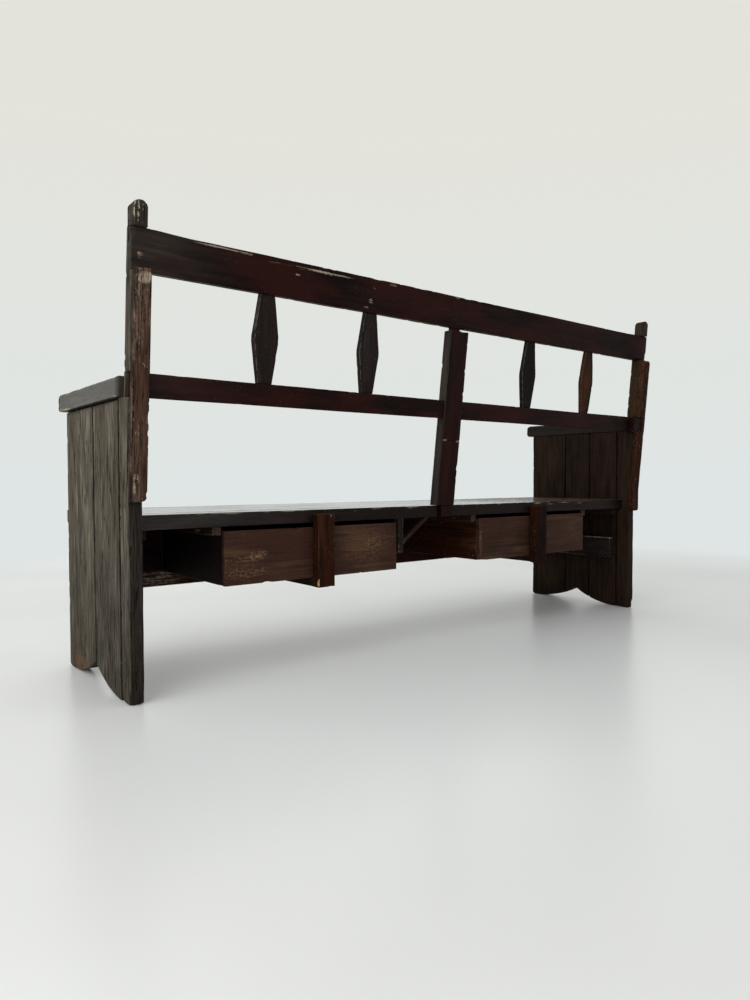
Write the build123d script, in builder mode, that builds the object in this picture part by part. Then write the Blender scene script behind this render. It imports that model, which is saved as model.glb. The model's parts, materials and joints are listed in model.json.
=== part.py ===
"""A Scandinavian pull-out bench bed: plank ends, a railed back, a seat whose upper leaf
slides forward on bearers to widen it into a bed, and two drawers on centre runners.

Frame: +X to the right seen from the front, +Y to the rear, +Z up. The origin lies on the
floor, in the middle of the footprint's bounding box. Millimetres.
"""
from build123d import *
from math import cos, radians, sin, tan
import os

os.makedirs("parts", exist_ok=True)

# ---------------------------------------------------------------- driving dimensions
bench_length = 1900.0      # over the outer faces of the two ends
panel_depth = 452.0        # end planks, front edge to rear edge
panel_thick = 33.0
plank_gap = 0.6            # dried-out joints between the end planks
right_seam = 230.0         # joint of the right end's planks, from its rear edge
left_rear_seam = 173.0
left_front_seam = 286.0
arch_apex = 235.0          # top of the arch under each end, from the rear edge
arch_height = 51.0
foot_round = 15.0          # front corner of the front foot
foot_flat = 12.0

arm_bottom = 661.0         # top of the end planks
arm_thick = 44.0
arm_nose = 30.0            # armrest beyond the front edge of the planks
arm_side = 12.0            # armrest beyond the outer face of the planks
arm_inside = 3.0
arm_round = 13.0
arm_edge_round = 5.0

rake = 5.25                # lean of the back, degrees
kink_z = 440.0             # height at which the rear posts start to lean
post_depth = 52.0          # rear post below the armrest
post_depth_top = 36.0      # rear post above the armrest
post_top = 1058.0
finial_round = 12.0

top_rail_low = 916.0
top_rail_high = 1005.0
mid_rail_low = 657.0
mid_rail_high = 710.0
rail_thick = 22.0
rail_recess = 14.0         # rear faces of the rails, in front of the posts' rear faces
lap_thick = 11.0           # tongue at each rail end, let into the post

centre_post_width = 66.0
centre_post_thick = 25.0
centre_post_recess = 10.0
centre_shoulder_gap = 5.0  # open joint under the top rail
centre_tenon_width = 36.0
centre_tenon_shift = 6.0
centre_tenon_thick = 12.0
centre_tenon_up = 25.0
foot_tongue_width = 40.0
foot_tongue_thick = 18.0
foot_notch_room = 1.0
foot_notch_flare = 9.0     # each side of the notch opens by this much to the rear

slat_width = 73.0
slat_end_width = 43.0
slat_waist = 12.0          # straight stretch at the widest place
slat_thick = 12.0
slat_chamfer = 2.0
slat_tenon_width = 34.0
slat_tenon_up = 11.0

batten_width = 38.0
batten_thick = 14.0
right_batten_proud = 0.0   # rear battens beyond the outer faces of the posts
left_batten_proud = 5.0
right_batten_low = 436.0
left_batten_low = 364.0
batten_notch_width = 28.0  # notch of the left batten round the middle rail
batten_notch_room = 1.0

seat_top = 407.0
seat_thick = 34.0
seat_inset = 28.0          # rear edge of the seat, in front of the planks' rear edge
rear_rail_depth = 70.0
leaf_thick = 17.0
slide_gap = 0.3            # running gap of every sliding face
leaf_side_gap = 1.5
leaf_end_gap = 0.5
nosing_depth = 24.0
nosing_proud = 12.0        # nosing in front of the end planks
nosing_round = 8.0
cleat_width = 26.0
cleat_height = 24.0
cleat_inset = 50.0         # rear end of the seat cleats, from the rear edge of the planks

rail_bottom = 188.0        # front lower rail
rail_height = 41.7
front_rail_thick = 22.0
stile_thick = 20.0
front_setback = 12.5       # face frame, behind the front edge of the planks
ledger_thick = 22.0
ledger_low = 186.0
ledger_high = 261.0
ledger_inset = 64.0

drawer_width = 530.0
drawer_height = 132.0
drawer_wall = 14.0
drawer_floor = 10.0
drawer_front_thick = 20.0
drawer_side_gap = 3.0
drawer_top_gap = 0.5
drawer_back_gap = 6.0      # between a drawer's back and its hanging batten
drawer_spacing = 866.0
drawer_shift = 12.0
knob_radius = 17.0
knob_length = 27.0
knob_neck_radius = 9.0
knob_neck_length = 8.0
knob_flare = 6.0           # depth of the flare behind the dome
knob_shank_radius = 5.0

hanging_batten_width = 42.0
hanging_batten_thick = 24.0
hanging_batten_low = 208.0
hanging_batten_high = 396.0
runner_width = 40.0
bearer_width = 24.0
bearer_height = 21.0
bearer_inset = 45.0        # rear end of the bearers, from the rear edge of the planks
bearer_drawer_gap = 2.0
bearer_notch_room = 1.0
bearer_setback = 4.0       # front ends of the bearers, behind the front of the nosing
leaf_travel = 300.0
nosing_peg_radius = 4.0
stop_peg_radius = 4.0
stop_peg_reach = 10.0
stop_peg_start = 4.0       # blind end of the stop pegs, inside the bearer
nosing_peg_up = 24.0       # into the nosing, above the bearers

hanger_width = 18.0
hanger_thick = 14.0
hanger_low = 277.0
hanger_drawer_gap = 2.0
brace_thick = 11.0
brace_low = 300.0
brace_run = 84.0

dowel_radius = 6.0
dowel_length = 44.0
dowel_heights = (150.0, 350.0, 560.0)
peg_radius = 4.5
peg_proud = 0.8
peg_stop = 6.0             # pegs end this far behind the front of the post
fit_gap = 0.05             # radial gap of dowels and pegs
arm_peg_radius = 5.0
arm_peg_length = 80.0
arm_peg_places = (120.0, 380.0)
nail_radius = 1.6
nail_length = 44.0
nail_head_radius = 4.0
nail_head_thick = 1.4
batten_nail_heights = (482.0, 604.0, 748.0, 884.0)
batten_nail_stagger = 3.5
hanging_nail_stagger = 5.5

# ---------------------------------------------------------------- worked-out places
half_length = bench_length / 2
inner_half = half_length - panel_thick
post_x = half_length - panel_thick / 2
lean = radians(rake)


def rise(z):
    """Distance up the leaning rear face, from the kink to height z."""
    return (z - kink_z) / cos(lean)


batten_reach = rise(top_rail_low) * sin(lean) + batten_thick * cos(lean)
post_reach = (post_top - kink_z) * tan(lean)
front_reach = panel_depth + arm_nose
back_y = (front_reach - max(batten_reach, post_reach)) / 2    # rear edge of the end planks


def forward(distance):
    """Y of a place this far in front of the rear edge of the end planks."""
    return back_y - distance


def leaning_y(depth, z):
    """Y at height z on the plane this deep in front of the leaning rear face."""
    return back_y + (z - kink_z) * tan(lean) - depth / cos(lean)


def upright(y):
    """The upright plane across the bench at y. Its normal points forward."""
    return Plane.XZ.offset(-y)


# The leaning rear face of the posts. Its normal points forward, local y runs up the posts.
back_face = Plane(
    origin=(0, back_y, kink_z), x_dir=(1, 0, 0), z_dir=(0, -cos(lean), sin(lean))
)

seat_bottom = seat_top - seat_thick
fixed_thick = seat_thick - leaf_thick - slide_gap
rear_rail_rear = forward(seat_inset)
rear_rail_front = forward(seat_inset + rear_rail_depth)
nosing_front = forward(panel_depth + nosing_proud)
nosing_rear = nosing_front + nosing_depth
fixed_front = nosing_rear + leaf_end_gap
leaf_half = inner_half - leaf_side_gap
frame_front = forward(panel_depth - front_setback)
stile_rear = frame_front + stile_thick
rail_top = rail_bottom + rail_height
drawer_bottom = rail_top + slide_gap
drawer_top = drawer_bottom + drawer_height
bearer_top = seat_bottom - slide_gap
bearer_low = bearer_top - bearer_height
drawer_front_top = bearer_top - drawer_top_gap
drawer_box_front = frame_front + drawer_front_thick
drawer_rear = rear_rail_rear - drawer_back_gap
hanging_rear = rear_rail_rear + hanging_batten_thick
opening_half = drawer_width / 2 + drawer_side_gap
bearer_offset = drawer_width / 2 + bearer_drawer_gap + bearer_width / 2
right_drawer_x = drawer_shift + drawer_spacing / 2
left_drawer_x = drawer_shift - drawer_spacing / 2
drawer_places = {"right": right_drawer_x, "left": left_drawer_x}
# Each bearer's place, and the side of it that faces away from its drawer.
bearer_places = (
    (right_drawer_x + bearer_offset, 1),
    (right_drawer_x - bearer_offset, -1),
    (left_drawer_x + bearer_offset, 1),
    (left_drawer_x - bearer_offset, -1),
)
stop_y = stile_rear + leaf_travel + stop_peg_radius + slide_gap
slat_pitch = (inner_half - centre_post_width / 2) / 3
inner_slat_x = centre_post_width / 2 + slat_pitch
outer_slat_x = centre_post_width / 2 + 2 * slat_pitch
slat_places = (outer_slat_x, inner_slat_x, -inner_slat_x, -outer_slat_x)
slat_recess = rail_recess + (rail_thick - slat_thick) / 2
slat_tenon_recess = slat_recess + slat_chamfer
slat_tenon_thick = slat_thick - 2 * slat_chamfer
centre_top = top_rail_low - centre_shoulder_gap
centre_front_depth = centre_post_recess + centre_post_thick
centre_tenon_recess = rail_recess + (rail_thick - centre_tenon_thick) / 2
tongue_front = leaning_y(centre_front_depth, seat_top)
ends = {"right": 1, "left": -1}


def keep(piece, node):
    """Label a finished piece and write it under its node's name."""
    piece.part.label = node
    export_step(piece.part, f"parts/{node}.step")


def span(centre, width):
    """The two ends of a width about its centre."""
    return (centre - width / 2, centre + width / 2)


def side_span(side, near, far):
    """A range of X on one side of the bench, from two distances to the middle."""
    return tuple(sorted((side * near, side * far)))


def block(x_range, y_range, z_range, mode=Mode.ADD):
    """A block between the ends of three ranges, in the builder that is open."""
    ranges = (x_range, y_range, z_range)
    with Locations(tuple((low + high) / 2 for low, high in ranges)):
        Box(*[high - low for low, high in ranges], mode=mode)


# ---------------------------------------------------------------- fasteners
def dowel_rods(radius):
    """Rods through each joint between the planks and posts of the two ends."""
    left_joints = (post_depth, left_rear_seam, left_front_seam)
    for name, seams in (("right", (post_depth, right_seam)), ("left", left_joints)):
        for seam in seams:
            with BuildSketch(upright(forward(seam) + dowel_length / 2)) as profile:
                with Locations(*[(ends[name] * post_x, height) for height in dowel_heights]):
                    Circle(radius)
            extrude(profile.sketch, amount=dowel_length)


def armrest_rods(radius):
    """Rods down through each armrest into the planks under it."""
    places = [(side * post_x, forward(distance)) for side in (1, -1) for distance in arm_peg_places]
    with BuildSketch(Plane.XY.offset(arm_bottom + arm_thick + peg_proud)) as profile:
        with Locations(*places):
            Circle(radius)
    extrude(profile.sketch, amount=-arm_peg_length)


def lap_rods(radius):
    """Rods through the laps of the two rails, from just proud of the rails' rear faces."""
    heights = ((top_rail_low + top_rail_high) / 2, (mid_rail_low + mid_rail_high) / 2)
    with BuildSketch(back_face.offset(rail_recess - peg_proud)) as profile:
        with Locations(*[(side * post_x, rise(height)) for side in (1, -1) for height in heights]):
            Circle(radius)
    extrude(profile.sketch, amount=post_depth_top - peg_stop - rail_recess + peg_proud)


def leaf_rods(nosing_radius, stop_radius):
    """Rods up through the bearers into the nosing, and the stops across the bearers."""
    nosing_middle = nosing_front + nosing_depth / 2
    with BuildSketch(Plane.XY.offset(bearer_low)) as profile:
        with Locations(*[(x, nosing_middle) for x, outward in bearer_places]):
            Circle(nosing_radius)
    extrude(profile.sketch, amount=bearer_height + nosing_peg_up)
    stop_length = bearer_width - stop_peg_start + stop_peg_reach
    for x, outward in bearer_places:
        blind_end = x - outward * (bearer_width / 2 - stop_peg_start)
        with BuildSketch(Plane.YZ.offset(blind_end)) as profile:
            with Locations((stop_y, bearer_top - bearer_height / 2)):
                Circle(stop_radius)
        extrude(profile.sketch, amount=outward * stop_length)


with BuildPart() as end_panel_dowels:
    dowel_rods(dowel_radius - fit_gap)
with BuildPart() as dowel_bores:
    dowel_rods(dowel_radius)
with BuildPart() as armrest_pegs:
    armrest_rods(arm_peg_radius - fit_gap)
with BuildPart() as armrest_bores:
    armrest_rods(arm_peg_radius)
with BuildPart() as back_pegs:
    lap_rods(peg_radius - fit_gap)
with BuildPart() as back_bores:
    lap_rods(peg_radius)
with BuildPart() as leaf_pegs:
    leaf_rods(nosing_peg_radius - fit_gap, stop_peg_radius - fit_gap)
with BuildPart() as leaf_bores:
    leaf_rods(nosing_peg_radius, stop_peg_radius)

# Nails: four in each rear batten, and in each hanging batten two at the seat and one at
# the runner. The nails stagger about the middle of the batten.
batten_nails = []
for side in ends.values():
    for row, height in enumerate(batten_nail_heights):
        stagger = batten_nail_stagger * (-1) ** row
        batten_nails.append((side * post_x + stagger, rise(height)))
seat_nail_z = (seat_bottom + hanging_batten_high) / 2
runner_nail_z = (hanging_batten_low + rail_top) / 2
hanging_nails = []
for x in drawer_places.values():
    hanging_nails.append((x - hanging_batten_width / 4, seat_nail_z + hanging_nail_stagger))
    hanging_nails.append((x + hanging_batten_width / 4, seat_nail_z - hanging_nail_stagger))
    hanging_nails.append((x, runner_nail_z))
nail_groups = (
    (back_face.offset(-batten_thick), batten_nails),
    (upright(hanging_rear), hanging_nails),
)
with BuildPart() as iron_nails:
    for surface, places in nail_groups:
        with BuildSketch(surface):
            with Locations(*places):
                Circle(nail_radius)
        extrude(amount=nail_length)
        with BuildSketch(surface):
            with Locations(*places):
                Circle(nail_head_radius)
        extrude(amount=-nail_head_thick)

keep(end_panel_dowels, "end_panel_dowels")
keep(armrest_pegs, "armrest_pegs")
keep(back_pegs, "back_pegs")
keep(leaf_pegs, "leaf_pegs")
keep(iron_nails, "iron_nails")


# ---------------------------------------------------------------- ends
def end_outline():
    """Side outline of an end without its post: two round feet meet in a pointed arch."""
    front = forward(panel_depth)
    rear = forward(post_depth)
    flat_end = front + foot_round + foot_flat
    apex = (forward(arch_apex), arch_height)
    with BuildLine() as outline:
        Line((front, arm_bottom), (front, foot_round))
        RadiusArc((front, foot_round), (front + foot_round, 0), -foot_round)
        Line((front + foot_round, 0), (flat_end, 0))
        TangentArc((flat_end, 0), apex, tangent=(1, 0))
        TangentArc((rear, 0), apex, tangent=(-1, 0))
        Line((rear, 0), (rear, arm_bottom))
        Line((rear, arm_bottom), (front, arm_bottom))
    make_face(outline.edges())


# Each plank of an end: its place in the end, and its rear and front edges.
end_planks = (
    ("right", "rear", post_depth, right_seam),
    ("right", "front", right_seam, panel_depth),
    ("left", "rear", post_depth, left_rear_seam),
    ("left", "middle", left_rear_seam, left_front_seam),
    ("left", "front", left_front_seam, panel_depth),
)
for name, place, near, far in end_planks:
    lowest_x = min(side_span(ends[name], inner_half, half_length))
    with BuildPart() as plank:
        with BuildSketch(Plane.YZ.offset(lowest_x)):
            end_outline()
            with Locations((forward((near + plank_gap + far) / 2), arm_bottom / 2)):
                Rectangle(far - near - plank_gap, arm_bottom, mode=Mode.INTERSECT)
        extrude(amount=panel_thick)
        add(dowel_bores.part, mode=Mode.SUBTRACT)
        add(armrest_bores.part, mode=Mode.SUBTRACT)
    keep(plank, f"{name}_{place}_plank")

# Each rear post stands upright to the kink and leans back above it. It narrows at the
# armrest, and its top is rounded over. The rails lie in notches in its rear face.
post_outline = [
    (forward(0), 0),
    (forward(0), kink_z),
    (leaning_y(0, post_top), post_top),
    (leaning_y(post_depth_top, post_top), post_top),
    (leaning_y(post_depth_top, arm_bottom), arm_bottom),
    (forward(post_depth), arm_bottom),
    (forward(post_depth), 0),
]
rail_heights = ((top_rail_low, top_rail_high), (mid_rail_low, mid_rail_high))
for name, side in ends.items():
    lowest_x = min(side_span(side, inner_half, half_length))
    with BuildPart() as post:
        with BuildSketch(Plane.YZ.offset(lowest_x)):
            with BuildLine():
                Polyline(*post_outline, close=True)
            make_face()
        extrude(amount=panel_thick)
        fillet(post.edges().group_by(Axis.Z)[-1].filter_by(Axis.Y), finial_round)
        with BuildSketch(back_face):
            for low, high in rail_heights:
                with Locations((side * post_x, (rise(low) + rise(high)) / 2)):
                    Rectangle(panel_thick, rise(high) - rise(low))
        extrude(amount=rail_recess + lap_thick, mode=Mode.SUBTRACT)
        add(dowel_bores.part, mode=Mode.SUBTRACT)
        add(back_bores.part, mode=Mode.SUBTRACT)
        add(iron_nails.part, mode=Mode.SUBTRACT)
    keep(post, f"{name}_rear_post")

# Each armrest lies on its planks and butts against the leaning front of its post.
armrest_outline = [
    (forward(front_reach), arm_bottom),
    (leaning_y(post_depth_top, arm_bottom), arm_bottom),
    (leaning_y(post_depth_top, arm_bottom + arm_thick), arm_bottom + arm_thick),
    (forward(front_reach), arm_bottom + arm_thick),
]
for name, side in ends.items():
    x_range = side_span(side, inner_half - arm_inside, half_length + arm_side)
    with BuildPart() as armrest:
        with BuildSketch(Plane.YZ.offset(x_range[0])):
            with BuildLine():
                Polyline(*armrest_outline, close=True)
            make_face()
        extrude(amount=x_range[1] - x_range[0])
        fillet(armrest.edges().filter_by(Axis.X).group_by(Axis.Y)[0], arm_round)
        fillet(armrest.edges().filter_by(Axis.Y).group_by(Axis.Z)[-1], arm_edge_round)
        add(armrest_bores.part, mode=Mode.SUBTRACT)
    keep(armrest, f"{name}_armrest")

# The rear battens follow the rear faces of the posts, over the kink. The left one is
# notched round the end of the middle rail.
batten_lows = {"right": right_batten_low, "left": left_batten_low}
batten_outer_x = {
    "right": half_length + right_batten_proud,
    "left": half_length + left_batten_proud,
}
for name, side in ends.items():
    x_range = side_span(side, batten_outer_x[name] - batten_width, batten_outer_x[name])
    top_y = leaning_y(0, top_rail_low)
    batten_outline = [
        (back_y, batten_lows[name]),
        (back_y, kink_z),
        (top_y, top_rail_low),
        (top_y + batten_thick * cos(lean), top_rail_low - batten_thick * sin(lean)),
        (back_y + batten_thick, kink_z - batten_thick * tan(lean / 2)),
        (back_y + batten_thick, batten_lows[name]),
    ]
    with BuildPart() as batten:
        with BuildSketch(Plane.YZ.offset(x_range[0])):
            with BuildLine():
                Polyline(*batten_outline, close=True)
            make_face()
        extrude(amount=x_range[1] - x_range[0])
        if name == "left":
            notch_low = rise(mid_rail_low) - batten_notch_room
            notch_high = rise(mid_rail_high) + batten_notch_room
            with BuildSketch(back_face):
                with Locations((x_range[1] - batten_notch_width / 2, (notch_low + notch_high) / 2)):
                    Rectangle(batten_notch_width, notch_high - notch_low)
            extrude(amount=-batten_thick, mode=Mode.SUBTRACT)
        add(iron_nails.part, mode=Mode.SUBTRACT)
    keep(batten, f"{name}_back_batten")

for name, side in ends.items():
    with BuildPart() as ledger:
        block(
            side_span(side, inner_half - ledger_thick, inner_half),
            (frame_front + front_rail_thick, forward(ledger_inset)),
            (ledger_low, ledger_high),
        )
    keep(ledger, f"{name}_ledger")
    with BuildPart() as cleat:
        block(
            side_span(side, inner_half - cleat_width, inner_half),
            (stile_rear, forward(cleat_inset)),
            (seat_bottom - cleat_height, seat_bottom),
        )
    keep(cleat, f"{name}_seat_cleat")


# ---------------------------------------------------------------- back
def rail_blank(low, high):
    """A rail across both posts, with the front half of each end cut away for its lap."""
    middle = (rise(low) + rise(high)) / 2
    with BuildSketch(back_face.offset(rail_recess)) as profile:
        with Locations((0, middle)):
            Rectangle(bench_length, rise(high) - rise(low))
    extrude(profile.sketch, amount=rail_thick)
    with BuildSketch(back_face.offset(rail_recess + lap_thick)) as profile:
        with Locations((post_x, middle), (-post_x, middle)):
            Rectangle(panel_thick, rise(high) - rise(low))
    extrude(profile.sketch, amount=rail_thick - lap_thick, mode=Mode.SUBTRACT)


def slat_mortises(middle):
    """Cut the sockets of the four slats, centred on a distance up the back."""
    with BuildSketch(back_face.offset(slat_tenon_recess)) as profile:
        with Locations(*[(x, middle) for x in slat_places]):
            Rectangle(slat_tenon_width, slat_tenon_up)
    extrude(profile.sketch, amount=slat_tenon_thick, mode=Mode.SUBTRACT)


with BuildPart() as top_rail:
    rail_blank(top_rail_low, top_rail_high)
    slat_mortises(rise(top_rail_low) + slat_tenon_up / 2)
    with BuildSketch(back_face.offset(centre_tenon_recess)):
        with Locations((centre_tenon_shift, rise(top_rail_low) + centre_tenon_up / 2)):
            Rectangle(centre_tenon_width, centre_tenon_up)
    extrude(amount=centre_tenon_thick, mode=Mode.SUBTRACT)
    add(back_bores.part, mode=Mode.SUBTRACT)
keep(top_rail, "top_rail")

# The middle rail and the centre post are halved into each other, the post to the rear.
crossing = (rise(mid_rail_low) + rise(mid_rail_high)) / 2
crossing_height = rise(mid_rail_high) - rise(mid_rail_low)
with BuildPart() as mid_rail:
    rail_blank(mid_rail_low, mid_rail_high)
    slat_mortises(rise(mid_rail_high) - slat_tenon_up / 2)
    with BuildSketch(back_face.offset(rail_recess)):
        with Locations((0, crossing)):
            Rectangle(centre_post_width, crossing_height)
    extrude(amount=lap_thick, mode=Mode.SUBTRACT)
    add(back_bores.part, mode=Mode.SUBTRACT)
keep(mid_rail, "mid_rail")

centre_outline = [
    (leaning_y(centre_post_recess, seat_top), seat_top),
    (tongue_front, seat_top),
    (leaning_y(centre_front_depth, centre_top), centre_top),
    (leaning_y(centre_post_recess, centre_top), centre_top),
]
tenon_low = rise(centre_top) - centre_shoulder_gap
tenon_high = rise(top_rail_low) + centre_tenon_up
with BuildPart() as centre_post:
    with BuildSketch(Plane.YZ.offset(-centre_post_width / 2)):
        with BuildLine():
            Polyline(*centre_outline, close=True)
        make_face()
    extrude(amount=centre_post_width)
    with BuildSketch(back_face.offset(rail_recess + lap_thick)):
        with Locations((0, crossing)):
            Rectangle(centre_post_width, crossing_height)
    extrude(amount=centre_post_thick, mode=Mode.SUBTRACT)
    with BuildSketch(back_face.offset(centre_tenon_recess)):
        with Locations((centre_tenon_shift, (tenon_low + tenon_high) / 2)):
            Rectangle(centre_tenon_width, tenon_high - tenon_low)
    extrude(amount=centre_tenon_thick)
    block(
        span(0, foot_tongue_width),
        (tongue_front, tongue_front + foot_tongue_thick),
        (seat_bottom, seat_top),
    )
keep(centre_post, "centre_post")

slat_low = rise(mid_rail_high)
slat_high = rise(top_rail_low)
slat_middle = (slat_low + slat_high) / 2
for number, x in enumerate(slat_places, start=1):
    half_outline = [
        (slat_end_width / 2, slat_low),
        (slat_width / 2, slat_middle - slat_waist / 2),
        (slat_width / 2, slat_middle + slat_waist / 2),
        (slat_end_width / 2, slat_high),
    ]
    outline = [(x + half, up) for half, up in half_outline]
    outline += [(x - half, up) for half, up in reversed(half_outline)]
    with BuildPart() as slat:
        with BuildSketch(back_face.offset(slat_recess)):
            with BuildLine():
                Polyline(*outline, close=True)
            make_face()
        extrude(amount=slat_thick)
        long_edges = slat.edges().filter_by(lambda edge: abs(edge.tangent_at(0.5).Z) > 0.5)
        chamfer(long_edges, slat_chamfer)
        with BuildSketch(back_face.offset(slat_tenon_recess)):
            with Locations((x, slat_low - slat_tenon_up / 2), (x, slat_high + slat_tenon_up / 2)):
                Rectangle(slat_tenon_width, slat_tenon_up)
        extrude(amount=slat_tenon_thick)
    keep(slat, f"back_slat_{number}")

# ---------------------------------------------------------------- fixed seat and its frame
# The notch in the rear rail holds the foot of the centre post and opens to the rear.
notch_half = foot_tongue_width / 2 + foot_notch_room
notch_outline = [
    (notch_half, tongue_front),
    (notch_half + foot_notch_flare, rear_rail_rear),
    (-notch_half - foot_notch_flare, rear_rail_rear),
    (-notch_half, tongue_front),
]
with BuildPart() as seat_rear_rail:
    block((-inner_half, inner_half), (rear_rail_front, rear_rail_rear), (seat_bottom, seat_top))
    with BuildSketch(Plane.XY.offset(seat_bottom)):
        with BuildLine():
            Polyline(*notch_outline, close=True)
        make_face()
    extrude(amount=seat_thick, mode=Mode.SUBTRACT)
    add(iron_nails.part, mode=Mode.SUBTRACT)
keep(seat_rear_rail, "seat_rear_rail")

fixed_middle = (fixed_front + rear_rail_front) / 2
fixed_ranges = ((fixed_middle, rear_rail_front), (fixed_front, fixed_middle))
for number, y_range in enumerate(fixed_ranges, start=1):
    with BuildPart() as fixed_board:
        block((-inner_half, inner_half), y_range, (seat_bottom, seat_bottom + fixed_thick))
    keep(fixed_board, f"fixed_seat_board_{number}")

with BuildPart() as front_lower_rail:
    block(
        (-inner_half, inner_half),
        (frame_front, frame_front + front_rail_thick),
        (rail_bottom, rail_top),
    )
keep(front_lower_rail, "front_lower_rail")

# The stiles stand on the lower rail beside the drawers. Their top corners are cut out
# for the bearers.
stile_ranges = {
    "right": (right_drawer_x + opening_half, inner_half),
    "middle": (left_drawer_x + opening_half, right_drawer_x - opening_half),
    "left": (-inner_half, left_drawer_x - opening_half),
}
for name, x_range in stile_ranges.items():
    with BuildPart() as stile:
        block(x_range, (frame_front, stile_rear), (rail_top, seat_bottom))
        for x, outward in bearer_places:
            block(
                span(x, bearer_width + 2 * bearer_notch_room),
                (frame_front, stile_rear),
                (bearer_low - bearer_notch_room, seat_bottom),
                mode=Mode.SUBTRACT,
            )
    keep(stile, f"front_stile_{name}")

for name, x in drawer_places.items():
    with BuildPart() as hanging_batten:
        block(
            span(x, hanging_batten_width),
            (rear_rail_rear, hanging_rear),
            (hanging_batten_low, hanging_batten_high),
        )
        add(iron_nails.part, mode=Mode.SUBTRACT)
    keep(hanging_batten, f"{name}_hanging_batten")
    with BuildPart() as runner:
        block(
            span(x, runner_width),
            (frame_front + front_rail_thick, rear_rail_rear),
            (hanging_batten_low, rail_top),
        )
        add(iron_nails.part, mode=Mode.SUBTRACT)
    keep(runner, f"{name}_drawer_runner")

# A short hanger beside the right drawer, and the brace that steadies it.
hanger_x = right_drawer_x - drawer_width / 2 - hanger_drawer_gap - hanger_width
with BuildPart() as guide_hanger:
    block(
        (hanger_x, hanger_x + hanger_width),
        (rear_rail_rear - hanger_thick, rear_rail_rear),
        (hanger_low, seat_bottom),
    )
keep(guide_hanger, "guide_hanger")

brace_slope = (seat_bottom - brace_low - brace_thick) / brace_run
brace_outline = [
    (hanger_x, brace_low),
    (hanger_x, brace_low + brace_thick),
    (hanger_x - brace_run, seat_bottom),
    (hanger_x - brace_run - brace_thick / brace_slope, seat_bottom),
]
with BuildPart() as knee_brace:
    with BuildSketch(upright(rear_rail_rear)):
        with BuildLine():
            Polyline(*brace_outline, close=True)
        make_face()
    extrude(amount=hanger_thick)
keep(knee_brace, "knee_brace")

# ---------------------------------------------------------------- pull-out leaf
leaf_middle = (nosing_rear + rear_rail_front - leaf_end_gap) / 2
leaf_ranges = ((leaf_middle, rear_rail_front - leaf_end_gap), (nosing_rear, leaf_middle))
for number, y_range in enumerate(leaf_ranges, start=1):
    with BuildPart() as leaf_board:
        block((-leaf_half, leaf_half), y_range, (seat_top - leaf_thick, seat_top))
    keep(leaf_board, f"leaf_board_{number}")

# The nosing runs in front of the end planks, and behind its ears it fits between them.
with BuildPart() as leaf_nosing:
    block((-half_length, half_length), (nosing_front, nosing_rear), (bearer_top, seat_top))
    fillet(leaf_nosing.edges().filter_by(Axis.X).group_by(Axis.Y)[0], nosing_round)
    for side in ends.values():
        block(
            side_span(side, leaf_half, half_length),
            (forward(panel_depth) - leaf_end_gap, nosing_rear),
            (bearer_top, seat_top),
            mode=Mode.SUBTRACT,
        )
    add(leaf_bores.part, mode=Mode.SUBTRACT)
keep(leaf_nosing, "leaf_nosing")

for number, (x, outward) in enumerate(bearer_places, start=1):
    with BuildPart() as bearer:
        block(
            span(x, bearer_width),
            (nosing_front + bearer_setback, forward(bearer_inset)),
            (bearer_low, bearer_top),
        )
        add(leaf_bores.part, mode=Mode.SUBTRACT)
    keep(bearer, f"leaf_bearer_{number}")

# ---------------------------------------------------------------- drawers
knob_z = (drawer_bottom + drawer_front_top) / 2
drawer_wall_front = drawer_rear - drawer_wall
for name, x in drawer_places.items():
    with BuildPart() as drawer_front:
        block(
            span(x, drawer_width),
            (frame_front, drawer_box_front),
            (drawer_bottom, drawer_front_top),
        )
        with BuildSketch(upright(drawer_box_front)):
            with Locations((x, knob_z)):
                Circle(knob_shank_radius)
        extrude(amount=drawer_front_thick, mode=Mode.SUBTRACT)
    keep(drawer_front, f"{name}_drawer_front")

    with BuildPart() as drawer_back:
        block(
            span(x, drawer_width), (drawer_wall_front, drawer_rear), (drawer_bottom, drawer_top)
        )
    keep(drawer_back, f"{name}_drawer_back")

    for side_name, side in ends.items():
        wall_x = x + side * (drawer_width - drawer_wall) / 2
        with BuildPart() as drawer_side:
            block(
                span(wall_x, drawer_wall),
                (drawer_box_front, drawer_wall_front),
                (drawer_bottom, drawer_top),
            )
        keep(drawer_side, f"{name}_drawer_{side_name}_side")

    with BuildPart() as drawer_base:
        block(
            span(x, drawer_width - 2 * drawer_wall),
            (drawer_box_front, drawer_wall_front),
            (drawer_bottom, drawer_bottom + drawer_floor),
        )
    keep(drawer_base, f"{name}_drawer_bottom")

    neck_end = frame_front - knob_neck_length
    with BuildPart() as knob:
        with BuildSketch(Plane.YZ.offset(x)):
            with BuildLine():
                Polyline(
                    (frame_front - knob_length, knob_z),
                    (drawer_box_front, knob_z),
                    (drawer_box_front, knob_z + knob_shank_radius - fit_gap),
                    (frame_front, knob_z + knob_shank_radius - fit_gap),
                    (frame_front, knob_z + knob_neck_radius),
                    (neck_end, knob_z + knob_neck_radius),
                    (neck_end - knob_flare, knob_z + knob_radius),
                )
                TangentArc(
                    (frame_front - knob_length, knob_z),
                    (neck_end - knob_flare, knob_z + knob_radius),
                    tangent=(0, 1),
                )
            make_face()
        revolve(axis=Axis((x, 0, knob_z), (0, 1, 0)))
    keep(knob, f"{name}_drawer_knob")
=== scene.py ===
# %% [markdown]
# # A pull-out bench bed, two hundred years worn
# The imported CAD model gives the frame: every board already has its place and its size in
# metres. Blender adds what time did to them. Each board is made again as one closed surface
# with rounded, chipped edges, and it carries two attributes that tell its material where
# the grain runs and where hands, feet and brooms have rubbed it. On a few boards the second
# attribute also places painted light and painted shade.

import json
from functools import partial
from math import cos, pi, radians, sin, tan

import bpy
import numpy as np
from mathutils import Matrix, Vector


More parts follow.
